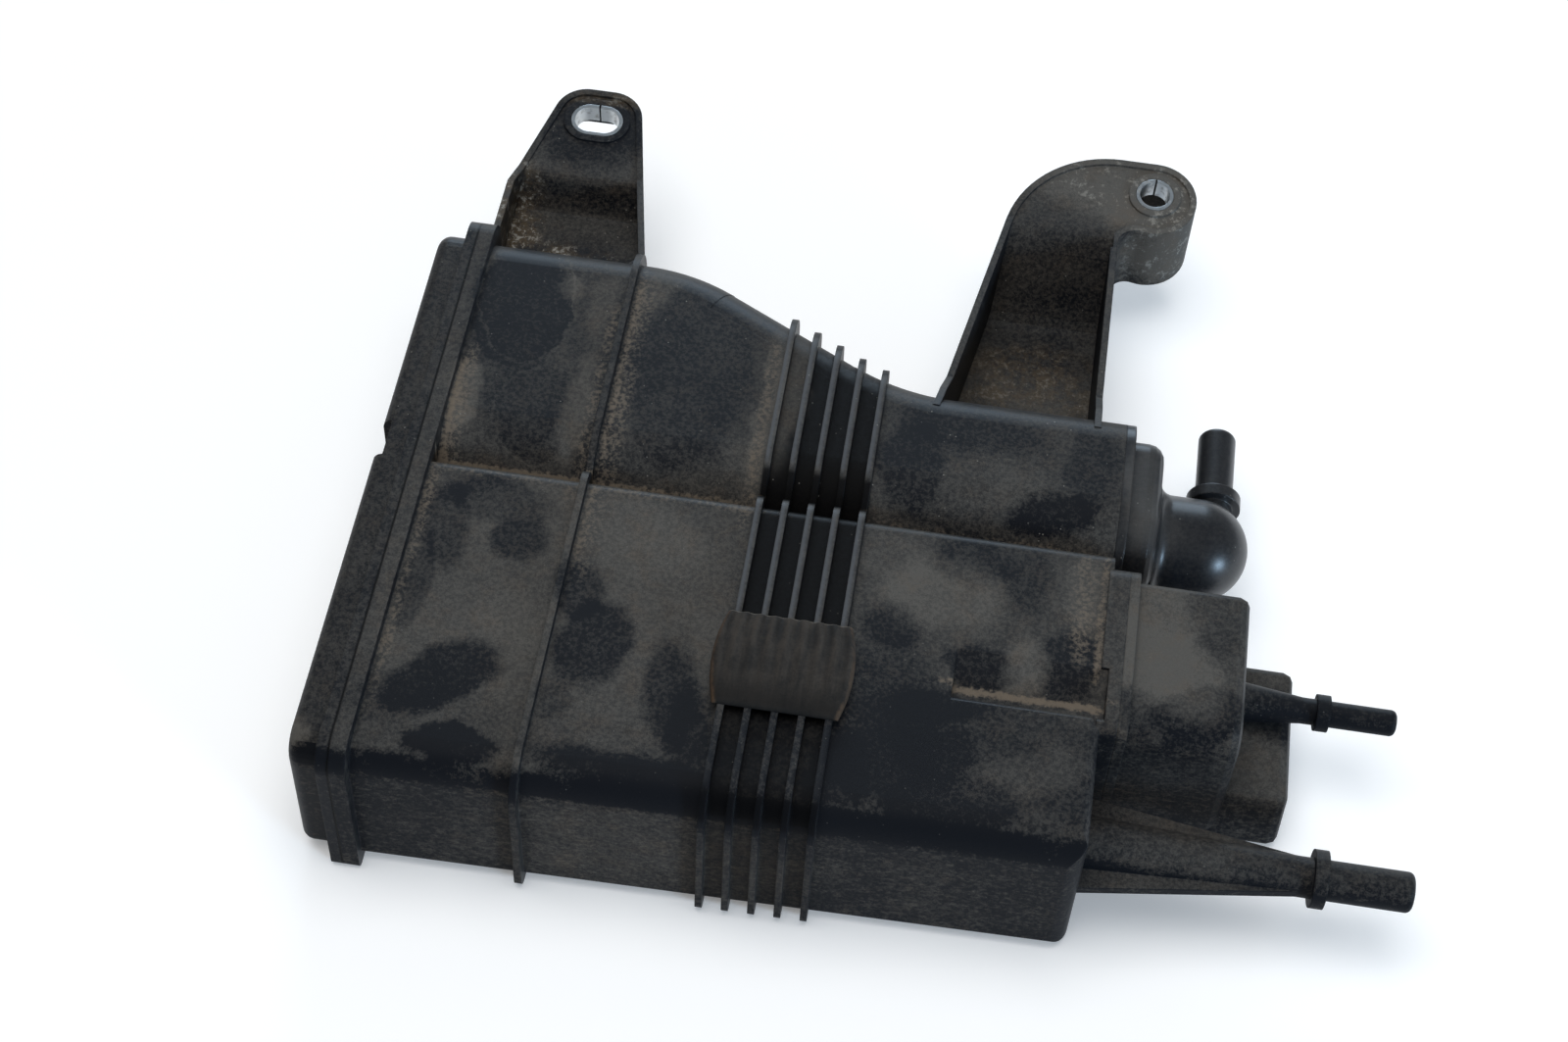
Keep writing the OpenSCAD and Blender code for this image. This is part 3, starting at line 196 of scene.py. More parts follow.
# black moulded plastic under road dust: wiped patches, dust clouds and packed dirt in the corners;
# places and sizes are in millimetres from the body's corner
bodyLook = {
    "clean": tone(20, 22, 26), "film": tone(90, 88, 84), "brown": tone(95, 87, 78),
    "earth": tone(108, 98, 86), "mud": tone(84, 70, 50), "crust": tone(138, 136, 130),
    # the near-black slot colour is the painted shade between the ribs and the dark weld line; the pale blue-grey
    # after it is the painted highlight on the rib tops
    "speck": tone(150, 148, 142), "slot": tone(7, 7, 8), "litRibTop": tone(78, 81, 85),
    "base": 0.45, "sides": 0.1,  # dust on what faces up, and on the walls
    "cloud": 0.6, "speckle": 0.34, "grain": 0.5, "streaks": 0.42,  # how far each noise changes it
    "rubbedAndShaded": 0.95,  # dust gone from the upper front edge, which also paints the shade on that edge
    "rough": 0.5, "specular": 0.06, "ior": 1.45, "sheen": 0.34, "sheenRough": 0.36,
    "roughFilm": 0.3, "roughGrain": 0.1, "shineLost": 0.8,  # what dust and grain do to the shine
    "relief": 0.00005, "reliefFine": 0.8, "softEdge": 0.0008,  # depth and edge radius in metres
    "weld": 0.7,  # half width of the dark weld line
    # each noise: size, detail, roughness
    "noise": {"cloud": (20.0, 6.0, 0.68), "fine": (1.3, 3.0, 0.7), "grain": (0.42, 2.0, 0.6),
              "streak": (1.5, 4.0, 0.68), "rub": (26.0, 3.0, 0.55), "stain": (8.0, 5.0, 0.7),
              "veins": (7.0, 7.0, 0.8), "clumps": (2.0, 5.0, 0.75), "lone": (9.0, 1.0, 0.5)},
    "streakStretch": (0.5, 0.6, 1.0), "speckPitch": 2.7,
    # how edges wander: size and reach of each shake, and the one that seams have
    "shakes": [(17.0, 3.6), (6.0, 2.2), (1.8, 0.8)], "seamShake": (1.4, 0.9),
    "crisp": 0.75, "tideEdges": (0.08, 0.02), "placeEdge": 0.4,  # how wide edges are
    # how much of a thing is seen where it is strongest, or is left where it is weakest
    "shares": {"wallCloud": 1.4, "flowMiddle": 0.25, "rubLeast": 0.35, "stainBrown": 0.55, "frontBrown": 0.45,
               "film": 0.8, "filmGrain": 0.4, "crumbs": 0.8, "crumbSpeckle": 0.5, "crumbCloud": 0.9,
               "flakeVeins": 0.45, "flakeClumps": 0.55, "weld": 0.9, "specks": 0.55, "speckLeast": 0.3},
    # where a value of a noise, a direction or a place starts to count and where it counts fully
    "spans": {
        "up": (0.1, 0.75), "edgeFront": (0.42, 0.75), "edgeUp": (0.12, 0.36), "behindEdge": (9.0, 14.0),
        "rub": (0.38, 0.6), "speckle": (0.36, 0.64), "streak": (0.46, 0.7), "stain": (0.45, 0.7),
        "frontWall": (0.5, 0.9), "aboveTop": (53.6, 54.4), "packed": (0.15, 1.0), "inSeam": (0.05, 0.3),
        "veins": (0.4, 0.6), "crust": (0.52, 0.6), "exposed": (0.12, 0.4), "pastLeftArm": (60.0, 90.0),
        "speckEdge": (0.04, 0.11), "lone": (0.5, 0.62), "backChamber": (98.0, 112.0),
        "sheenFront": (-0.75, -0.1), "sheenEnd": (-1.1, -0.2)},
    # the ribs: first one, pitch, outer edges, height of the floor between and of the tops,
    # a dusty slot, and where along y the painted shade in the slots deepens and the painted highlight on the
    # tops grows
    "ribs": {"first": 105.0, "pitch": 7.7, "edges": (103.5, 137.5), "fade": 1.0, "floor": (54.6, 55.6),
             "tops": (55.2, 56.2), "level": (0.2, 0.5), "dusty": (107, 150, 6, 30), "dustyShare": 0.7,
             "darken": (24.0, 60.0), "dark": 0.62, "darker": 0.33, "litAlong": (22.0, 66.0), "litAlongLeast": 0.1,
             "leftEdge": (-0.5, 0.9), "fineLeast": 0.5},
    # places on the top face, and how much more or less dust lies there:
    # x, y, radius x, radius y, turn, dust, edge
    "patches": [
        (52, 52, 52, 52, 0, 0.2, 0.12), (52, 162, 54, 58, 0, -0.16, 0.1), (176, 130, 40, 30, 0, -0.12, 0.15),
        (178, 24, 42, 26, 0, -0.24, 0.2), (25, 27, 18, 9.5, 36, -0.62, 0.3), (65.5, 46, 10, 15, -6, -0.6, 0.3),
        (57, 63, 8, 9, 0, -0.5, 0.4), (58, 26, 5, 7, 0, -0.3, 0.4), (90, 34, 8, 17, 6, -0.5, 0.4),
        (97, 22, 6, 14, 0, -0.3, 0.5), (32, 6, 13, 6, 0, -0.68, 0.3), (82, 5, 25, 6, -2, -0.6, 0.5),
        (37, 78, 8, 8, 0, -0.5, 0.35), (28, 92, 15, 8, -8, -0.42, 0.4), (15, 80, 7, 15, 8, -0.4, 0.4),
        (10, 58, 4.5, 18, 0, -0.36, 0.4), (19, 167, 16, 25, 4, -0.32, 0.1), (29, 130, 13, 16, 0, -0.14, 0.2),
        (76, 150, 19, 38, 0, -0.16, 0.15), (162, 145, 25, 10, -8, -0.24, 0.4), (148, 126, 10, 18, 0, -0.26, 0.3),
        (192, 116, 13, 6, 18, -0.42, 0.3), (203, 136, 8, 18, 0, -0.24, 0.4), (170, 94, 12, 9, 0, -0.34, 0.4),
        (187, 90, 7, 13, 0, -0.26, 0.5), (176, 58, 11, 6, -6, -0.4, 0.3), (201, 62, 9, 12, 0, -0.4, 0.3),
        (189, 60, 6, 9, 0, 0.45, 0.5), (150, 33, 16, 26, 0, -0.26, 0.35), (172, 9, 19, 9, 14, -0.3, 0.35),
        (140, 12, 8, 16, 0, -0.35, 0.4), (168, 42, 14, 5, 0, -0.3, 0.4), (150, 66, 9, 8, 20, -0.4, 0.4),
        (78, 86, 24, 14, 0, 0.14, 0.5), (163, 80, 17, 13, 10, 0.44, 0.45), (167, 25, 12, 10, 0, -0.24, 0.5),
        (172, 123, 16, 9, 14, 0.12, 0.4), (44, 130, 4.5, 22, 0, 0.4, 0.5), (44, 172, 4, 14, 0, 0.3, 0.5),
        (34, 178, 4, 5, 0, 0.36, 0.5), (148, 88, 11, 12, 0, 0.16, 0.5), (205, 88, 7, 13, 0, 0.34, 0.4),
        (192, 22, 20, 7, 24, 0.26, 0.6), (9, 130, 5, 12, 0, 0.5, 0.3), (101.5, 140, 3.5, 34, 0, 0.36, 0.4),
        (58, 148, 4, 34, 0, 0.06, 0.5), (40, 48, 8, 14, 20, 0.12, 0.6), (108, 150, 5, 26, 0, 0.3, 0.4),
        (60, 184, 6, 10, -30, 0.3, 0.5), (50, 13, 54, 9, 0, -0.2, 0.9), (120, 10, 19, 22, 0, -0.36, 0.4),
    ],
    # the same for places at other heights: x, y, z, three radii, dust, edge
    "spots": [
        (80, -2, 22, 46, 12, 24, 0.36, 0.6), (150, 0, 16, 50, 12, 20, 0.08, 0.5),
        (214, 22, 30, 10, 30, 40, -0.1, 0.5), (26, 254, 46, 18, 15, 8, -0.42, 0.4),
        (28, 204, 31, 24, 14, 6, -0.5, 0.4), (206, 262, 46, 32, 14, 8, 0.6, 0.5),
        (222, 252, 34, 20, 20, 16, 1.2, 0.5), (186, 232, 42, 24, 12, 8, -0.16, 0.6),
        (184, 212, 28, 26, 16, 16, -0.3, 0.5), (182, 180, 17, 28, 18, 6, 0.1, 0.5),
        (290, 20, 24, 34, 16, 16, -0.25, 0.3), (228, 20, 24, 18, 16, 16, -0.1, 0.5),
    ],
    # packed dirt: axis, middle, half width, x, y and radii of the stretch it lies on, weight
    "seams": [
        ("y", 107.9, 1.5, 30, 108, 34, 8, 1.1), ("y", 107.9, 1.4, 78, 108, 26, 8, 0.8),
        ("y", 101.0, 4.0, 60, 101, 58, 8, 0.3), ("x", 55.0, 3.0, 54, 145, 9, 42, 0.6),
        ("x", 57.0, 7.0, 58, 140, 12, 46, 0.36), ("x", 55.0, 3.0, 54, 88, 9, 18, 0.5),
        ("x", 57.0, 7.0, 58, 86, 12, 22, 0.3), ("x", 49.0, 5.0, 48, 135, 9, 40, 0.38),
        ("x", 6.6, 2.6, 6, 122, 9, 22, 0.8), ("x", 8.0, 6.0, 9, 124, 12, 26, 0.4),
        ("x", 6.8, 4.0, 7, 72, 10, 60, 0.36), ("y", 50.2, 2.4, 190, 50, 26, 6, 1.1),
        ("x", 209.6, 2.6, 208, 82, 8, 24, 0.6), ("x", 204.0, 8.0, 203, 84, 12, 22, 0.36),
        ("y", 108.0, 1.6, 175, 108, 45, 7, 0.3), ("x", 101.0, 4.0, 101, 130, 8, 40, 0.38),
    ],
    # tide lines left by drying water, on the rim of an ellipse: x, y, radius x, radius y, turn, weight
    "tides": [
        (20, 172, 15, 27, 6, 0.8), (34, 128, 14, 17, 0, 0.45), (38, 172, 9, 11, 0, 0.3),
        (172, 122, 17, 10, 14, 0.35), (196, 128, 12, 9, 24, 0.3),
    ],
    # heavy dirt on the brackets: x, y, z, radii, share of brown earth, share of pale crust
    "trays": [
        (26, 203, 30, 26, 12, 7, 0.3, 0.4), (7, 218, 37, 8, 18, 15, 0.6, 1.2),
        (18, 206, 31, 12, 10, 8, 0.3, 1.0), (181, 192, 19, 26, 18, 9, 0.45, 0.3),
        (181, 206, 25, 24, 12, 8, 0.36, 0.25), (27, 268, 46, 16, 3, 6, 0.4, 0.3),
        (206, 262, 46, 30, 12, 8, 0.0, 0.5), (222, 248, 34, 18, 18, 16, 0.0, 0.6),
    ],
    # edges that are rounder than the rest: x, y, z, radii, metres more
    "softer": [(27, 236, 42, 22, 10, 14, 0.003), (190, 54, 51, 26, 14, 7, 0.0012)],
}


# moulded plastic being written: places, directions and noises that its steps share
class DustyRecipe(Recipe):
    def __init__(self, name, look):
        super().__init__(name)
        self.look = look
        self.at = self.place()
        self.x, self.y, self.z = self.axes(self.at)
        self.nx, ny, self.nz = self.facing()
        self.toFront = ny * -1.0
        self.up = self.span(self.nz, "up")
        self.wander = self.at
        for size, reach in look["shakes"]:
            self.wander = self.shaken(self.wander, size, reach)
        self.cloud = self.named("cloud")
        self.fine = self.named("fine")
        self.grain = self.named("grain")
        self.speckle = self.span(self.fine, "speckle") - 0.5

    def named(self, key):
        return self.noise(self.at, *self.look["noise"][key])

    def span(self, value, key):
        return self.rise(value, *self.look["spans"][key])

    # the rounded upper front edge, found by its facing: dust rubbed away unevenly, which also paints the shade
    # on that edge as darker bare plastic
    def rubbedAndShadedEdge(self):
        edge = self.span(self.toFront, "edgeFront") * self.span(self.nz, "edgeUp")
        edge = edge * (1.0 - self.span(self.y, "behindEdge"))
        return edge * self.kept(self.span(self.named("rub"), "rub"), self.look["shares"]["rubLeast"])

    # dust from 0 to 1: a base with clouds, more or less of it at each place, little on the walls; its dip on the
    # upper front edge is painted shade, and the cover's corner spot is a painted highlight
    def dustAndPaintedLight(self):
        look, shares = self.look, self.look["shares"]
        shade = (self.cloud - 0.5) * look["cloud"]
        field = shade + look["base"]
        for count, (px, py, rx, ry, turn, weight, edge) in enumerate(look["patches"]):
            if count % batch == batch - 1:
                self.wander = self.after(self.wander, field)
            field = field + self.patch(self.wander, px, py, rx, ry, turn, edge=edge * look["crisp"]) * weight
        flow = self.noise(self.stretched(self.at, look["streakStretch"]), *look["noise"]["streak"])
        flow = self.span(flow, "streak") - shares["flowMiddle"]
        walls = shade * shares["wallCloud"] + look["sides"] + look["streaks"] * flow
        field = walls + (field - walls) * self.up
        self.wander = self.after(self.wander, field)
        for px, py, rx, ry, turn, weight in look["tides"]:
            outer, inner = (self.patch(self.wander, px, py, rx, ry, turn, edge=edge)
                            for edge in look["tideEdges"])
            field = field + outer * (1.0 - inner) * weight
        for px, py, pz, rx, ry, rz, weight, edge in look["spots"]:
            field = field + self.patch(self.wander, px, py, rx, ry, 0.0, pz, rz, edge) * weight
        # painted shade: less dust on the upper front edge, so that it shows darker
        field = field - self.rubbedAndShadedEdge() * look["rubbedAndShaded"]
        return self.clip(field + self.speckle * look["speckle"] + (self.grain - 0.5) * look["grain"])

    # grey film that turns brown in stains and on the front wall
    def filmed(self, film):
        shares = self.look["shares"]
        warm = self.span(self.named("stain"), "stain") * shares["stainBrown"]
        warm = warm + shares["frontBrown"] * self.span(self.toFront, "frontWall")
        return self.mix(film, self.look["clean"], self.mix(warm, self.look["film"], self.look["brown"]))

    # the ribs: painted shade, near black, in the slots between them, and a pale painted highlight along the left
    # edge of each top
    def ribbed(self, colour):
        ribs = self.look["ribs"]
        first, last = ribs["edges"]
        fade = ribs["fade"]
        between = self.rise(self.x, first, first + fade) * (1.0 - self.rise(self.x, last - fade, last))
        # painted shade: near black in the slots between the ribs, deeper towards the back
        slotShade = between * (1.0 - self.rise(self.z, *ribs["floor"])) * self.rise(self.up, *ribs["level"])
        slotShade = slotShade * (1.0 - ribs["dustyShare"] * self.patch(self.wander, *ribs["dusty"]))
        slotShade = slotShade * (ribs["dark"] + ribs["darker"] * self.rise(self.y, *ribs["darken"]))
        colour = self.mix(slotShade, colour, self.look["slot"])
        # painted highlight: pale along the left edge of each rib top
        turns = (self.x - ribs["first"]) / ribs["pitch"] + 0.5
        across = (self.node("Math", {"operation": "FRACT"}, {0: turns}) - 0.5) * ribs["pitch"]
        litRibTop = self.kept(self.rise(self.y, *ribs["litAlong"]), ribs["litAlongLeast"])
        lit = (1.0 - self.rise(across, *ribs["leftEdge"])) * litRibTop
        tops = between * self.rise(self.z, *ribs["tops"])
        return self.mix(tops * lit * self.kept(self.fine, ribs["fineLeast"]), colour, self.look["litRibTop"])

    # crumbs of earth packed along the seams of the top face
    def seamed(self, colour):
        shares = self.look["shares"]
        along = dict(zip("xy", self.axes(self.shaken(self.at, *self.look["seamShake"]))))
        lines = []
        for axis, middle, half, px, py, rx, ry, weight in self.look["seams"]:
            stretch = self.patch(self.wander, px, py, rx, ry) * weight
            lines.append(stretch * self.band(along[axis], middle, half))
        dirt = reduce(Out.atLeast, lines) * (1.0 - self.span(self.z, "aboveTop"))
        loose = self.speckle * shares["crumbSpeckle"]
        crumbs = self.span(dirt + loose + (self.cloud - 0.5) * shares["crumbCloud"], "packed")
        return self.mix(crumbs * self.span(dirt, "inSeam") * shares["crumbs"], colour, self.look["earth"])

    # brown earth and pale crust on what faces up, to the front or, in the left bracket, to the right
    def caked(self, colour):
        shares = self.look["shares"]
        veins, clumps = self.named("veins"), self.named("clumps")
        toRight = self.nx * (1.0 - self.span(self.x, "pastLeftArm"))
        exposed = self.span(self.nz.atLeast(toRight).atLeast(self.toFront), "exposed")
        for px, py, pz, rx, ry, rz, brown, pale in self.look["trays"]:
            place = self.patch(self.wander, px, py, rx, ry, 0.0, pz, rz, self.look["placeEdge"]) * exposed
            colour = self.mix(place * self.span(veins, "veins") * brown, colour, self.look["mud"])
            flakes = self.span(veins * shares["flakeVeins"] + clumps * shares["flakeClumps"], "crust")
            colour = self.mix(self.clip(place * flakes * pale), colour, self.look["crust"])
        return colour

    # single pale grains of sand, most of them on the back chamber
    def specked(self, colour):
        shares = self.look["shares"]
        cell = self.node("TexVoronoi", None, {"Vector": self.at, "Scale": 1.0 / self.look["speckPitch"]})
        speck = (1.0 - self.span(cell, "speckEdge")) * self.span(self.named("lone"), "lone")
        speck = speck * self.kept(self.span(self.y, "backChamber"), shares["speckLeast"])
        return self.mix(speck * shares["specks"], colour, self.look["speck"])


def dustyPlastic(name, look):
    r = DustyRecipe(name, look)
    shares = look["shares"]
    dustAndPaintedLight = r.dustAndPaintedLight()
    film = dustAndPaintedLight * (shares["film"] + shares["filmGrain"] * (r.grain - 0.5))
    colour = r.filmed(film)
    if look["ribs"]:
        colour = r.ribbed(colour)
    r.wander = r.after(r.wander, dustAndPaintedLight)
    if look["seams"]:
        colour = r.seamed(colour)
    if look["trays"]:
        colour = r.caked(colour)
    if look["weld"]:
        colour = r.mix(r.band(r.x, 0.0, look["weld"]) * shares["weld"], colour, look["slot"])
    colour = r.specked(colour)
    softEdge = look["softEdge"]
    for px, py, pz, rx, ry, rz, more in look["softer"]:
        softEdge = softEdge + r.patch(r.at, px, py, rx, ry, 0.0, pz, rz, look["placeEdge"]) * more
    # the moulded skin shines where it is clean, and least on the front wall and the cover's end
    sheen = look["sheen"]
    if sheen:
        sheen = sheen * (1.0 - look["shineLost"] * film)
        sheen = sheen * r.span(r.toFront * -1.0, "sheenFront") * r.span(r.nx, "sheenEnd")
    rough = look["rough"] + look["roughFilm"] * film + look["roughGrain"] * (r.grain - 0.5)
    normal = r.relief(r.grain + r.fine * look["reliefFine"], look["relief"], softEdge)
    return r.finish(colour=colour, roughness=rough, normal=normal, ior=look["ior"],
                    specular=look["specular"], coat=sheen, coatRoughness=look["sheenRough"])


bareLook = dict(bodyLook, patches=[], spots=[], seams=[], tides=[], trays=[], softer=[], ribs=None)
# the cover's one spot: extra dust on its top front corner, a painted highlight there
coverLook = dict(bareLook, base=0.22, sides=0.04, rough=0.4, spots=[(-12, 3, 50, 3.5, 4, 5, 0.9, 0.7)])
portLook = dict(
    bareLook, base=0.54, sides=0.26, weld=None,
    patches=[(226, 78, 12, 24, 0, 0.35, 0.4), (236, 64, 9, 14, 20, 0.4, 0.5), (243, 86, 8, 18, 0, -0.2, 0.5),
             (240, 52, 14, 9, 20, -0.45, 0.3), (222, 50, 6, 8, 0, -0.4, 0.4), (222, 66, 8, 18, 10, 0.2, 0.5)],
    spots=[(284, 75.5, 26.5, 32, 12, 12, -0.6, 0.3), (262, 62, 19, 12, 26, 5, 0.15, 0.5),
           (240, 46, 20, 30, 8, 30, -0.1, 0.5)])
elbowLook = dict(
    bareLook, base=0.08, sides=0.06, cloud=0.3, speckle=0.1, grain=0.15, streaks=0.0, weld=None,
    rough=0.31, specular=0.55, sheen=0.0, relief=0.000006,
    patches=[(218, 130, 6, 20, 0, 0.3, 0.4), (226, 122, 7, 10, 0, 0.2, 0.6)])

finishes = {
    "canister_body": dustyPlastic("dustyBodyPlasticPaintedLight", bodyLook),
    "end_cover": dustyPlastic("dustyCoverPlasticPaintedHighlight", coverLook),
    "port_cover": dustyPlastic("dustyPortPlastic", portLook),
    "vent_elbow": dustyPlastic("dustyElbowPlastic", elbowLook),
}
print("canister: plastics written")

sleeveLook = {"bright": tone(196, 200, 202), "dull": tone(120, 116, 108), "rough": 0.34,
              "spots": (2.2, 4.0, 0.6), "spotSpan": (0.5, 0.72), "stretch": (6.0, 6.0, 0.4),
              "drawn": (1.0, 3.0, 0.6), "dullShare": 0.7, "metalLost": 0.5, "roughSpots": 0.25,
              "roughDrawn": 0.12, "relief": 0.00002, "softEdge": 0.0002}
springLook = dict(sleeveLook, bright=tone(150, 152, 156), rough=0.3)


# zinc-plated steel: bright metal with dull spots and fine drawn lines
def zincSteel(name, look):
    r = Recipe(name)
    at = r.place()
    spots = r.rise(r.noise(at, *look["spots"]), *look["spotSpan"])
    drawn = r.noise(r.stretched(at, look["stretch"]), *look["drawn"])
    rough = look["rough"] + look["roughSpots"] * spots + look["roughDrawn"] * (drawn - 0.5)
    return r.finish(colour=r.mix(spots * look["dullShare"], look["bright"], look["dull"]), roughness=rough,
                    metallic=1.0 - spots * look["metalLost"],
                    normal=r.relief(drawn, look["relief"], look["softEdge"]))


# saddle pad: its node, its grid and form in metres, then its rubber, placed in millimetres
pad = {
    "node": "rib_pad", "across": 150, "along": 110, "bulge": 0.0025, "edge": 0.0012, "sag": 0.12,
    "ridges": 8.5, "ridgeHeight": 0.0004, "ridgeMiddle": 0.55, "ridgeSlope": 0.75, "roll": 22.0,
    # the dark under colour is painted shade on the front of the pad, the pale rim colour a painted highlight on
    # its back edge, the brown after it brown dirt on its sides with a painted highlight
    "clean": tone(30, 29, 28), "film": tone(68, 63, 58), "under": tone(24, 23, 22),
    "rim": tone(112, 106, 97), "litBrownEdge": tone(92, 74, 58), "rough": 0.7, "specular": 0.2,
    "middle": (120.4, 45.0), "half": (20.5, 16.0),
    "cloud": (9.0, 5.0, 0.65), "fine": (0.8, 3.0, 0.65), "streak": (1.6, 3.0, 0.6),
    "streakStretch": (1.0, 0.12, 0.3), "relief": 0.00005, "softEdge": 0.0003, "roughFilm": 0.15,
    # where each colour starts and where it is strongest, from -1 to 1 across the pad or on a noise
    "spans": {"ridge": (-0.3, 0.7), "film": (0.34, 0.7), "under": (0.35, 0.9), "rim": (0.93, 0.985),
              "side": (0.93, 0.99), "litBrownEdge": (0.35, 0.6)},
    # what the film is made of, how much of each colour is seen, how far the rims fray and bow
    "shares": {"cloud": 0.5, "streak": 0.3, "fine": 0.2, "ridge": 0.07, "film": 0.75, "under": 0.7,
               "rimLeast": 0.4, "litBrownEdge": 0.6, "rimFray": 0.06, "sideFray": 0.05, "sideBow": 0.13},
}


# soft rubber: dull, brownish dust that is a little heavier on the ridge crests as a painted highlight, a pale
# painted highlight along the back rim, brown side edges with a painted highlight, and painted shade on the front
# where it rolls under
def dustyRubber(name, look):
    r = Recipe(name)
    spans, shares = look["spans"], look["shares"]
    at = r.place()
    x, y = r.axes(at)[:2]
    u = (x - look["middle"][0]) / look["half"][0]
    v = (y - look["middle"][1]) / look["half"][1]
    cloud = r.noise(at, *look["cloud"])
    fine = r.noise(at, *look["fine"])
    streak = r.noise(r.stretched(at, look["streakStretch"]), *look["streak"])
    # the ridges: a little more film on each crest, a painted highlight along the ridges
    ridge = r.node("Math", {"operation": "COSINE"}, {0: u * (look["ridges"] * math.pi)})
    ridge = ridge * r.rise(v, *spans["ridge"])
    film = cloud * shares["cloud"] + streak * shares["streak"] + fine * shares["fine"] + ridge * shares["ridge"]
    film = r.rise(film, *spans["film"])
    colour = r.mix(film * shares["film"], look["clean"], look["film"])
    # painted shade: darker towards the front, where the pad rolls under
    under = r.rise(v * -1.0 + (cloud - 0.5), *spans["under"])
    colour = r.mix(under * shares["under"], colour, look["under"])
    # painted highlight: a pale line along the back rim
    rim = r.rise(v + (fine - 0.5) * shares["rimFray"], *spans["rim"])
    colour = r.mix(rim * r.kept(streak, shares["rimLeast"]), colour, look["rim"])
    # brown dirt on the side edges, with a painted highlight on them
    side = abs(u) + shares["sideBow"] * v * v + (fine - 0.5) * shares["sideFray"]
    side = r.rise(side, *spans["side"]) * r.rise(cloud, *spans["litBrownEdge"])
    colour = r.mix(side * shares["litBrownEdge"], colour, look["litBrownEdge"])
    return r.finish(colour=colour, roughness=look["rough"] + look["roughFilm"] * film, specular=look["specular"],
                    normal=r.relief(fine, look["relief"], look["softEdge"]))


# saddle pad as a height over its outline: arched across the ribs, rolled off at its edges,
# with ridges along y that fade from the back edge; the underside is the same outline laid flat
def saddlePad(shape):
    low, high = (np.array(corner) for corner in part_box(shape["node"]))
    middle, half = (low + high) / 2.0, (high - low) / 2.0
    u = np.sin(np.linspace(-0.5, 0.5, shape["across"]) * np.pi)
    v = np.sin(np.linspace(-0.5, 0.5, shape["along"]) * np.pi)
    gridU, gridV = np.meshgrid(u, v, indexing="ij")
    reach = half[0] - shape["bulge"] * gridV ** 2
    rollU = np.clip(1.0 - np.abs(gridU) ** shape["roll"], 0, 1)
    rollV = np.clip(1.0 - np.abs(gridV) ** shape["roll"], 0, 1)
    ridge = shape["ridgeHeight"] * np.cos(gridU * shape["ridges"] * np.pi)
    ridge = ridge * np.clip(shape["ridgeMiddle"] + shape["ridgeSlope"] * gridV, 0, 1)
    tall = 2.0 * half[2] - 2.0 * shape["ridgeHeight"]
    crown = shape["edge"] + (tall - shape["edge"]) * (1.0 - gridV ** 2) * (1.0 - shape["sag"] * gridU ** 2)
    top = (crown + ridge + shape["ridgeHeight"]) * np.sqrt(rollU * rollV)
    flat = np.zeros_like(top)
    across, along = middle[0] + gridU * reach, middle[1] + gridV * half[1]
    sheets = [np.stack([across, along, low[2] + height], -1).reshape(-1, 3) for height in (top, flat)]
    n, m = gridU.shape
    index = np.arange(n * m).reshape(n, m)
    quads = np.stack([index[:-1, :-1], index[1:, :-1], index[1:, 1:], index[:-1, 1:]], -1).reshape(-1, 4)
    rim = np.zeros((n, m), bool)  # both sheets share the points of the rim
    rim[[0, -1], :] = rim[:, [0, -1]] = True
    under = np.where(rim, index, index + n * m)
    quadsUnder = np.stack([under[:-1, :-1], under[:-1, 1:], under[1:, 1:], under[1:, :-1]], -1).reshape(-1, 4)
    piece = newPiece("saddlePad", np.concatenate(sheets), np.concatenate([quads, quadsUnder]))
    piece.data.materials.append(dustyRubber("dustyPadRubberPaintedLight", shape))
    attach(piece, "root")
    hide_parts(shape["node"])


# a mesh object at the origin from whole arrays; points that no face uses are left out
def newPiece(name, points, faces):
    used, faces = np.unique(faces, return_inverse=True)
    points, faces = points[used], faces.reshape(-1, 4)
    mesh = bpy.data.meshes.new(name)
    mesh.from_pydata(points.tolist(), [], faces.tolist())
    mesh.polygons.foreach_set("use_smooth", np.ones(len(faces), bool))
    mesh.update()
    piece = bpy.data.objects.new(name, mesh)
    bpy.context.scene.collection.objects.link(piece)
    return piece


# sealed filling, by the end of its nodes' names: granules, fibres and plain moulded plates
fillings = {
    "carbon_bed": {"name": "carbonGranules", "dark": tone(14, 14, 15), "light": tone(46, 46, 48),
                   "size": 2.2, "rough": 0.85, "relief": 0.0006},
    "felt": {"name": "needledFelt", "dark": tone(150, 148, 140), "light": tone(206, 203, 194),
             "size": 0.5, "rough": 0.95, "relief": 0.0003},
    "plate": {"name": "platePlastic", "dark": tone(30, 31, 33), "light": tone(46, 47, 49),
              "size": 1.2, "rough": 0.55, "relief": 0.00005},
}


def filling(look):
    r = Recipe(look["name"])
    roughShade, reliefShade, softEdge = 0.2, 0.3, 0.0002
    at = r.place()
    grains = r.node("TexVoronoi", None, {"Vector": at, "Scale": 1.0 / look["size"]})
    shade = r.noise(at, look["size"] * 2.0, 4.0, 0.6)
    return r.finish(colour=r.mix(shade, look["dark"], look["light"]),
                    roughness=look["rough"] + roughShade * (shade - 0.5),
                    normal=r.relief(grains + shade * reliefShade, look["relief"], softEdge))


inside = {ending: filling(look) for ending, look in fillings.items()}
inside["spring"] = zincSteel("springSteel", springLook)
finishes["oval_sleeve"] = finishes["round_sleeve"] = zincSteel("zincSleeveSteel", sleeveLook)
for ending, finish in inside.items():
    finishes.update({nodeName: finish for nodeName in nodes if nodeName.endswith(ending)})
for nodeName, finish in finishes.items():
    for slot in nodes[nodeName].material_slots:
        slot.material = finish
saddlePad(pad)
print("canister: finishes given to", len(finishes), "nodes")


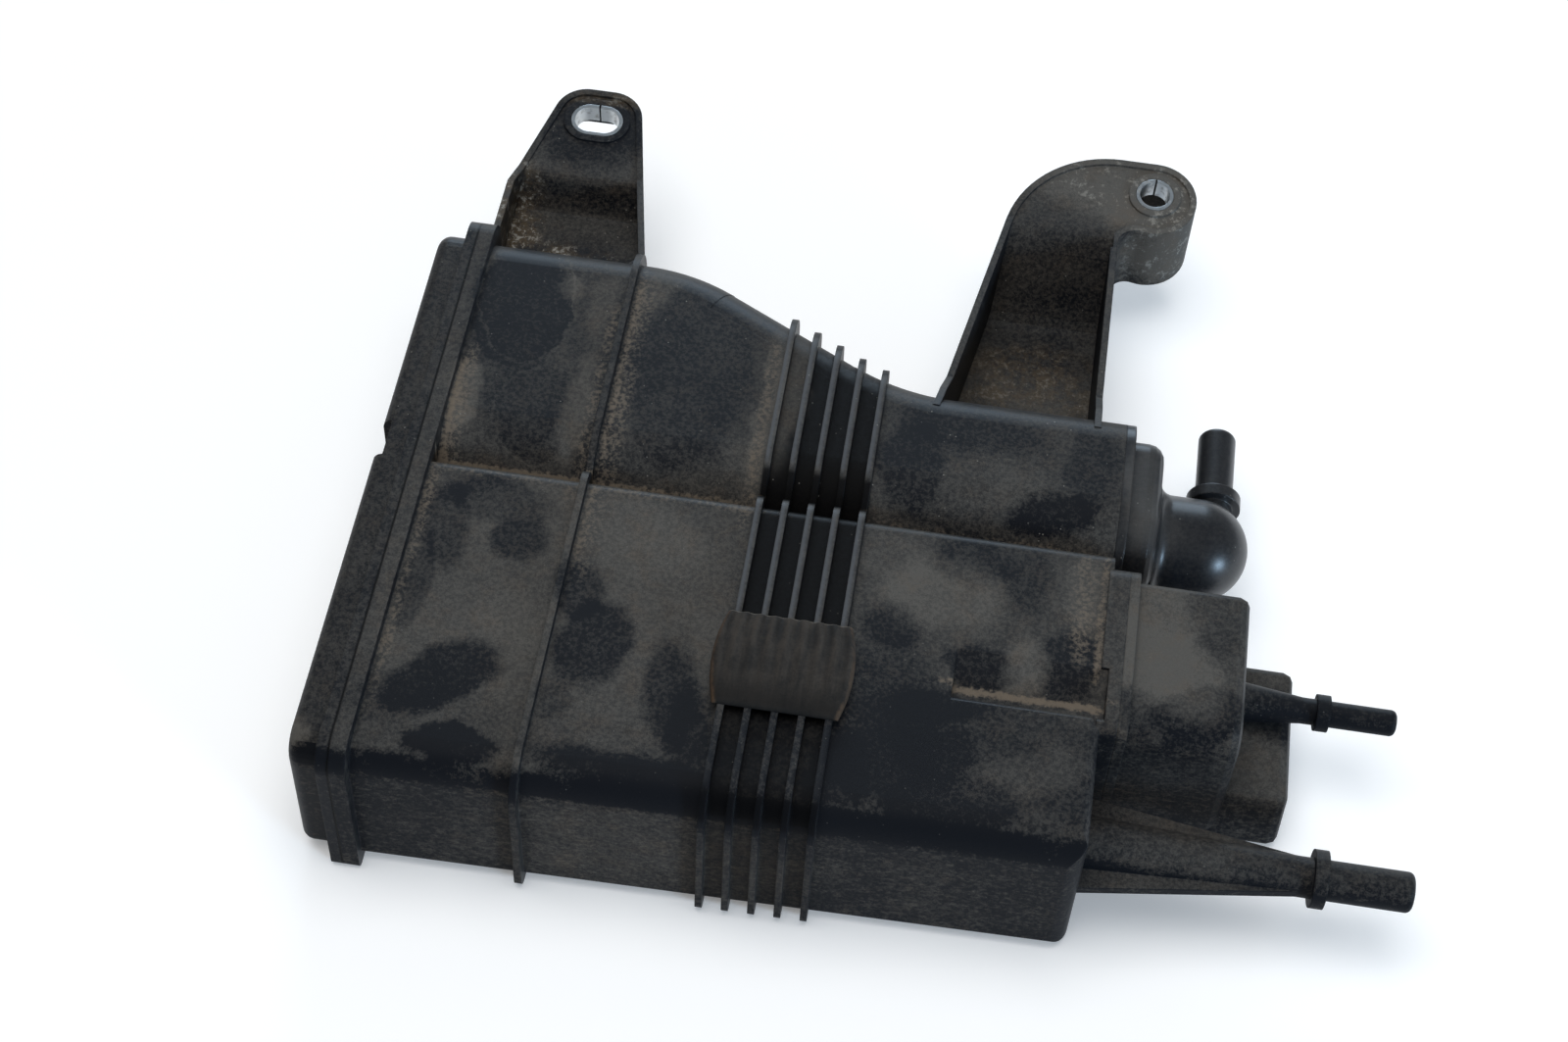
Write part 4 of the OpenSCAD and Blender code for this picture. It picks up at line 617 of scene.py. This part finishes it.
# pale floor: plain white paint that keeps the shadow, lifted a little where a camera or a mirror sees it
floorLook = {"colour": (0.9, 0.9, 0.9, 1.0), "rough": 0.9, "half": 4.0, "lift": 0.2}


def paleFloor(look):
    half = look["half"]
    corners = [(-half, -half, 0), (half, -half, 0), (half, half, 0), (-half, half, 0)]
    mesh = bpy.data.meshes.new("floor")
    mesh.from_pydata(corners, [], [(0, 1, 2, 3)])
    floor = bpy.data.objects.new("floor", mesh)
    bpy.context.scene.collection.objects.link(floor)
    r = Recipe("palePaper")
    camera, mirror, glass = (r.node("LightPath", out=ray) for ray in (0, 3, 6))
    shown = camera.atLeast(mirror).atLeast(glass)
    glow = r.mix(shown, (0.0, 0.0, 0.0, 1.0), (1.0, 1.0, 1.0, 1.0))
    floor.data.materials.append(r.finish(colour=look["colour"], roughness=look["rough"], specular=0.0,
                                         glow=glow, glowStrength=look["lift"]))


paleFloor(floorLook)

# soft studio light: a broad lamp overhead, a low window behind, another to the right, an even dim room
lamps = {
    "overhead": {"place": (-0.15, -0.1, 1.7), "size": 1.3, "power": 20.0,
                 "colour": (1.0, 0.985, 0.965), "mirrored": False},
    "backWindow": {"place": (-0.2, 2.2, 0.85), "size": 1.3, "power": 23.0,
                   "colour": (0.66, 0.83, 1.0), "mirrored": True},
    "sideWindow": {"place": (1.7, -1.25, 0.45), "size": 0.46, "power": 28.0,
                   "colour": (0.54, 0.76, 1.0), "mirrored": True},
}
lampTarget = (0.0, 0.0, 0.03)
room = {"colour": (0.9, 0.95, 1.0, 1.0), "strength": 0.25}


# turns an object's -Z towards a target, with its top kept up
def aim(obj, place, target):
    toward = np.array(target, float) - np.array(place, float)
    back = -toward / np.linalg.norm(toward)
    right = np.cross((0.0, 0.0, 1.0), back)
    right /= np.linalg.norm(right)
    up = np.cross(back, right)
    stand(obj, place, right, up, back)


def stand(obj, place, right, up, back):
    axes = np.eye(4)
    axes[:3, :3] = np.stack([right, up, back], 1)
    axes[:3, 3] = place
    obj.matrix_world = Matrix(axes.tolist())


for lampName, lamp in lamps.items():
    light = bpy.data.lights.new(lampName, "AREA")
    light.shape = "SQUARE"
    light.size = lamp["size"]
    light.energy = lamp["power"]
    light.color = lamp["colour"]
    lampObject = bpy.data.objects.new(lampName, light)
    lampObject.visible_glossy = lamp["mirrored"]  # the overhead lamp fills without a highlight of its own
    bpy.context.scene.collection.objects.link(lampObject)
    aim(lampObject, lamp["place"], lampTarget)

world = bpy.data.worlds.new("room")
bpy.context.scene.world = world
world.use_nodes = True
background = world.node_tree.nodes["Background"]
background.inputs["Color"].default_value = room["colour"]
background.inputs["Strength"].default_value = room["strength"]
print("canister: floor and lamps set")

# camera where the photograph was taken from: place in metres, then its right and down directions
view = {
    "place": (0.011729, -0.515912, 0.705834),
    "right": (0.98853193, 0.14589848, 0.03896481),
    "down": (0.14011366, -0.78989007, -0.59702751),
    "lens": 62.46, "sensor": 36.0, "nearest": 0.01,
}
camera = bpy.data.cameras.new("camera")
camera.lens = view["lens"]
camera.sensor_width = view["sensor"]
camera.sensor_fit = "HORIZONTAL"
camera.clip_start = view["nearest"]
cameraObject = bpy.data.objects.new("camera", camera)
bpy.context.scene.collection.objects.link(cameraObject)
rightAxis, downAxis = np.array(view["right"]), np.array(view["down"])
stand(cameraObject, view["place"], rightAxis, -downAxis, -np.cross(rightAxis, downAxis))
bpy.context.scene.camera = cameraObject
bpy.context.scene.view_settings.view_transform = "Standard"
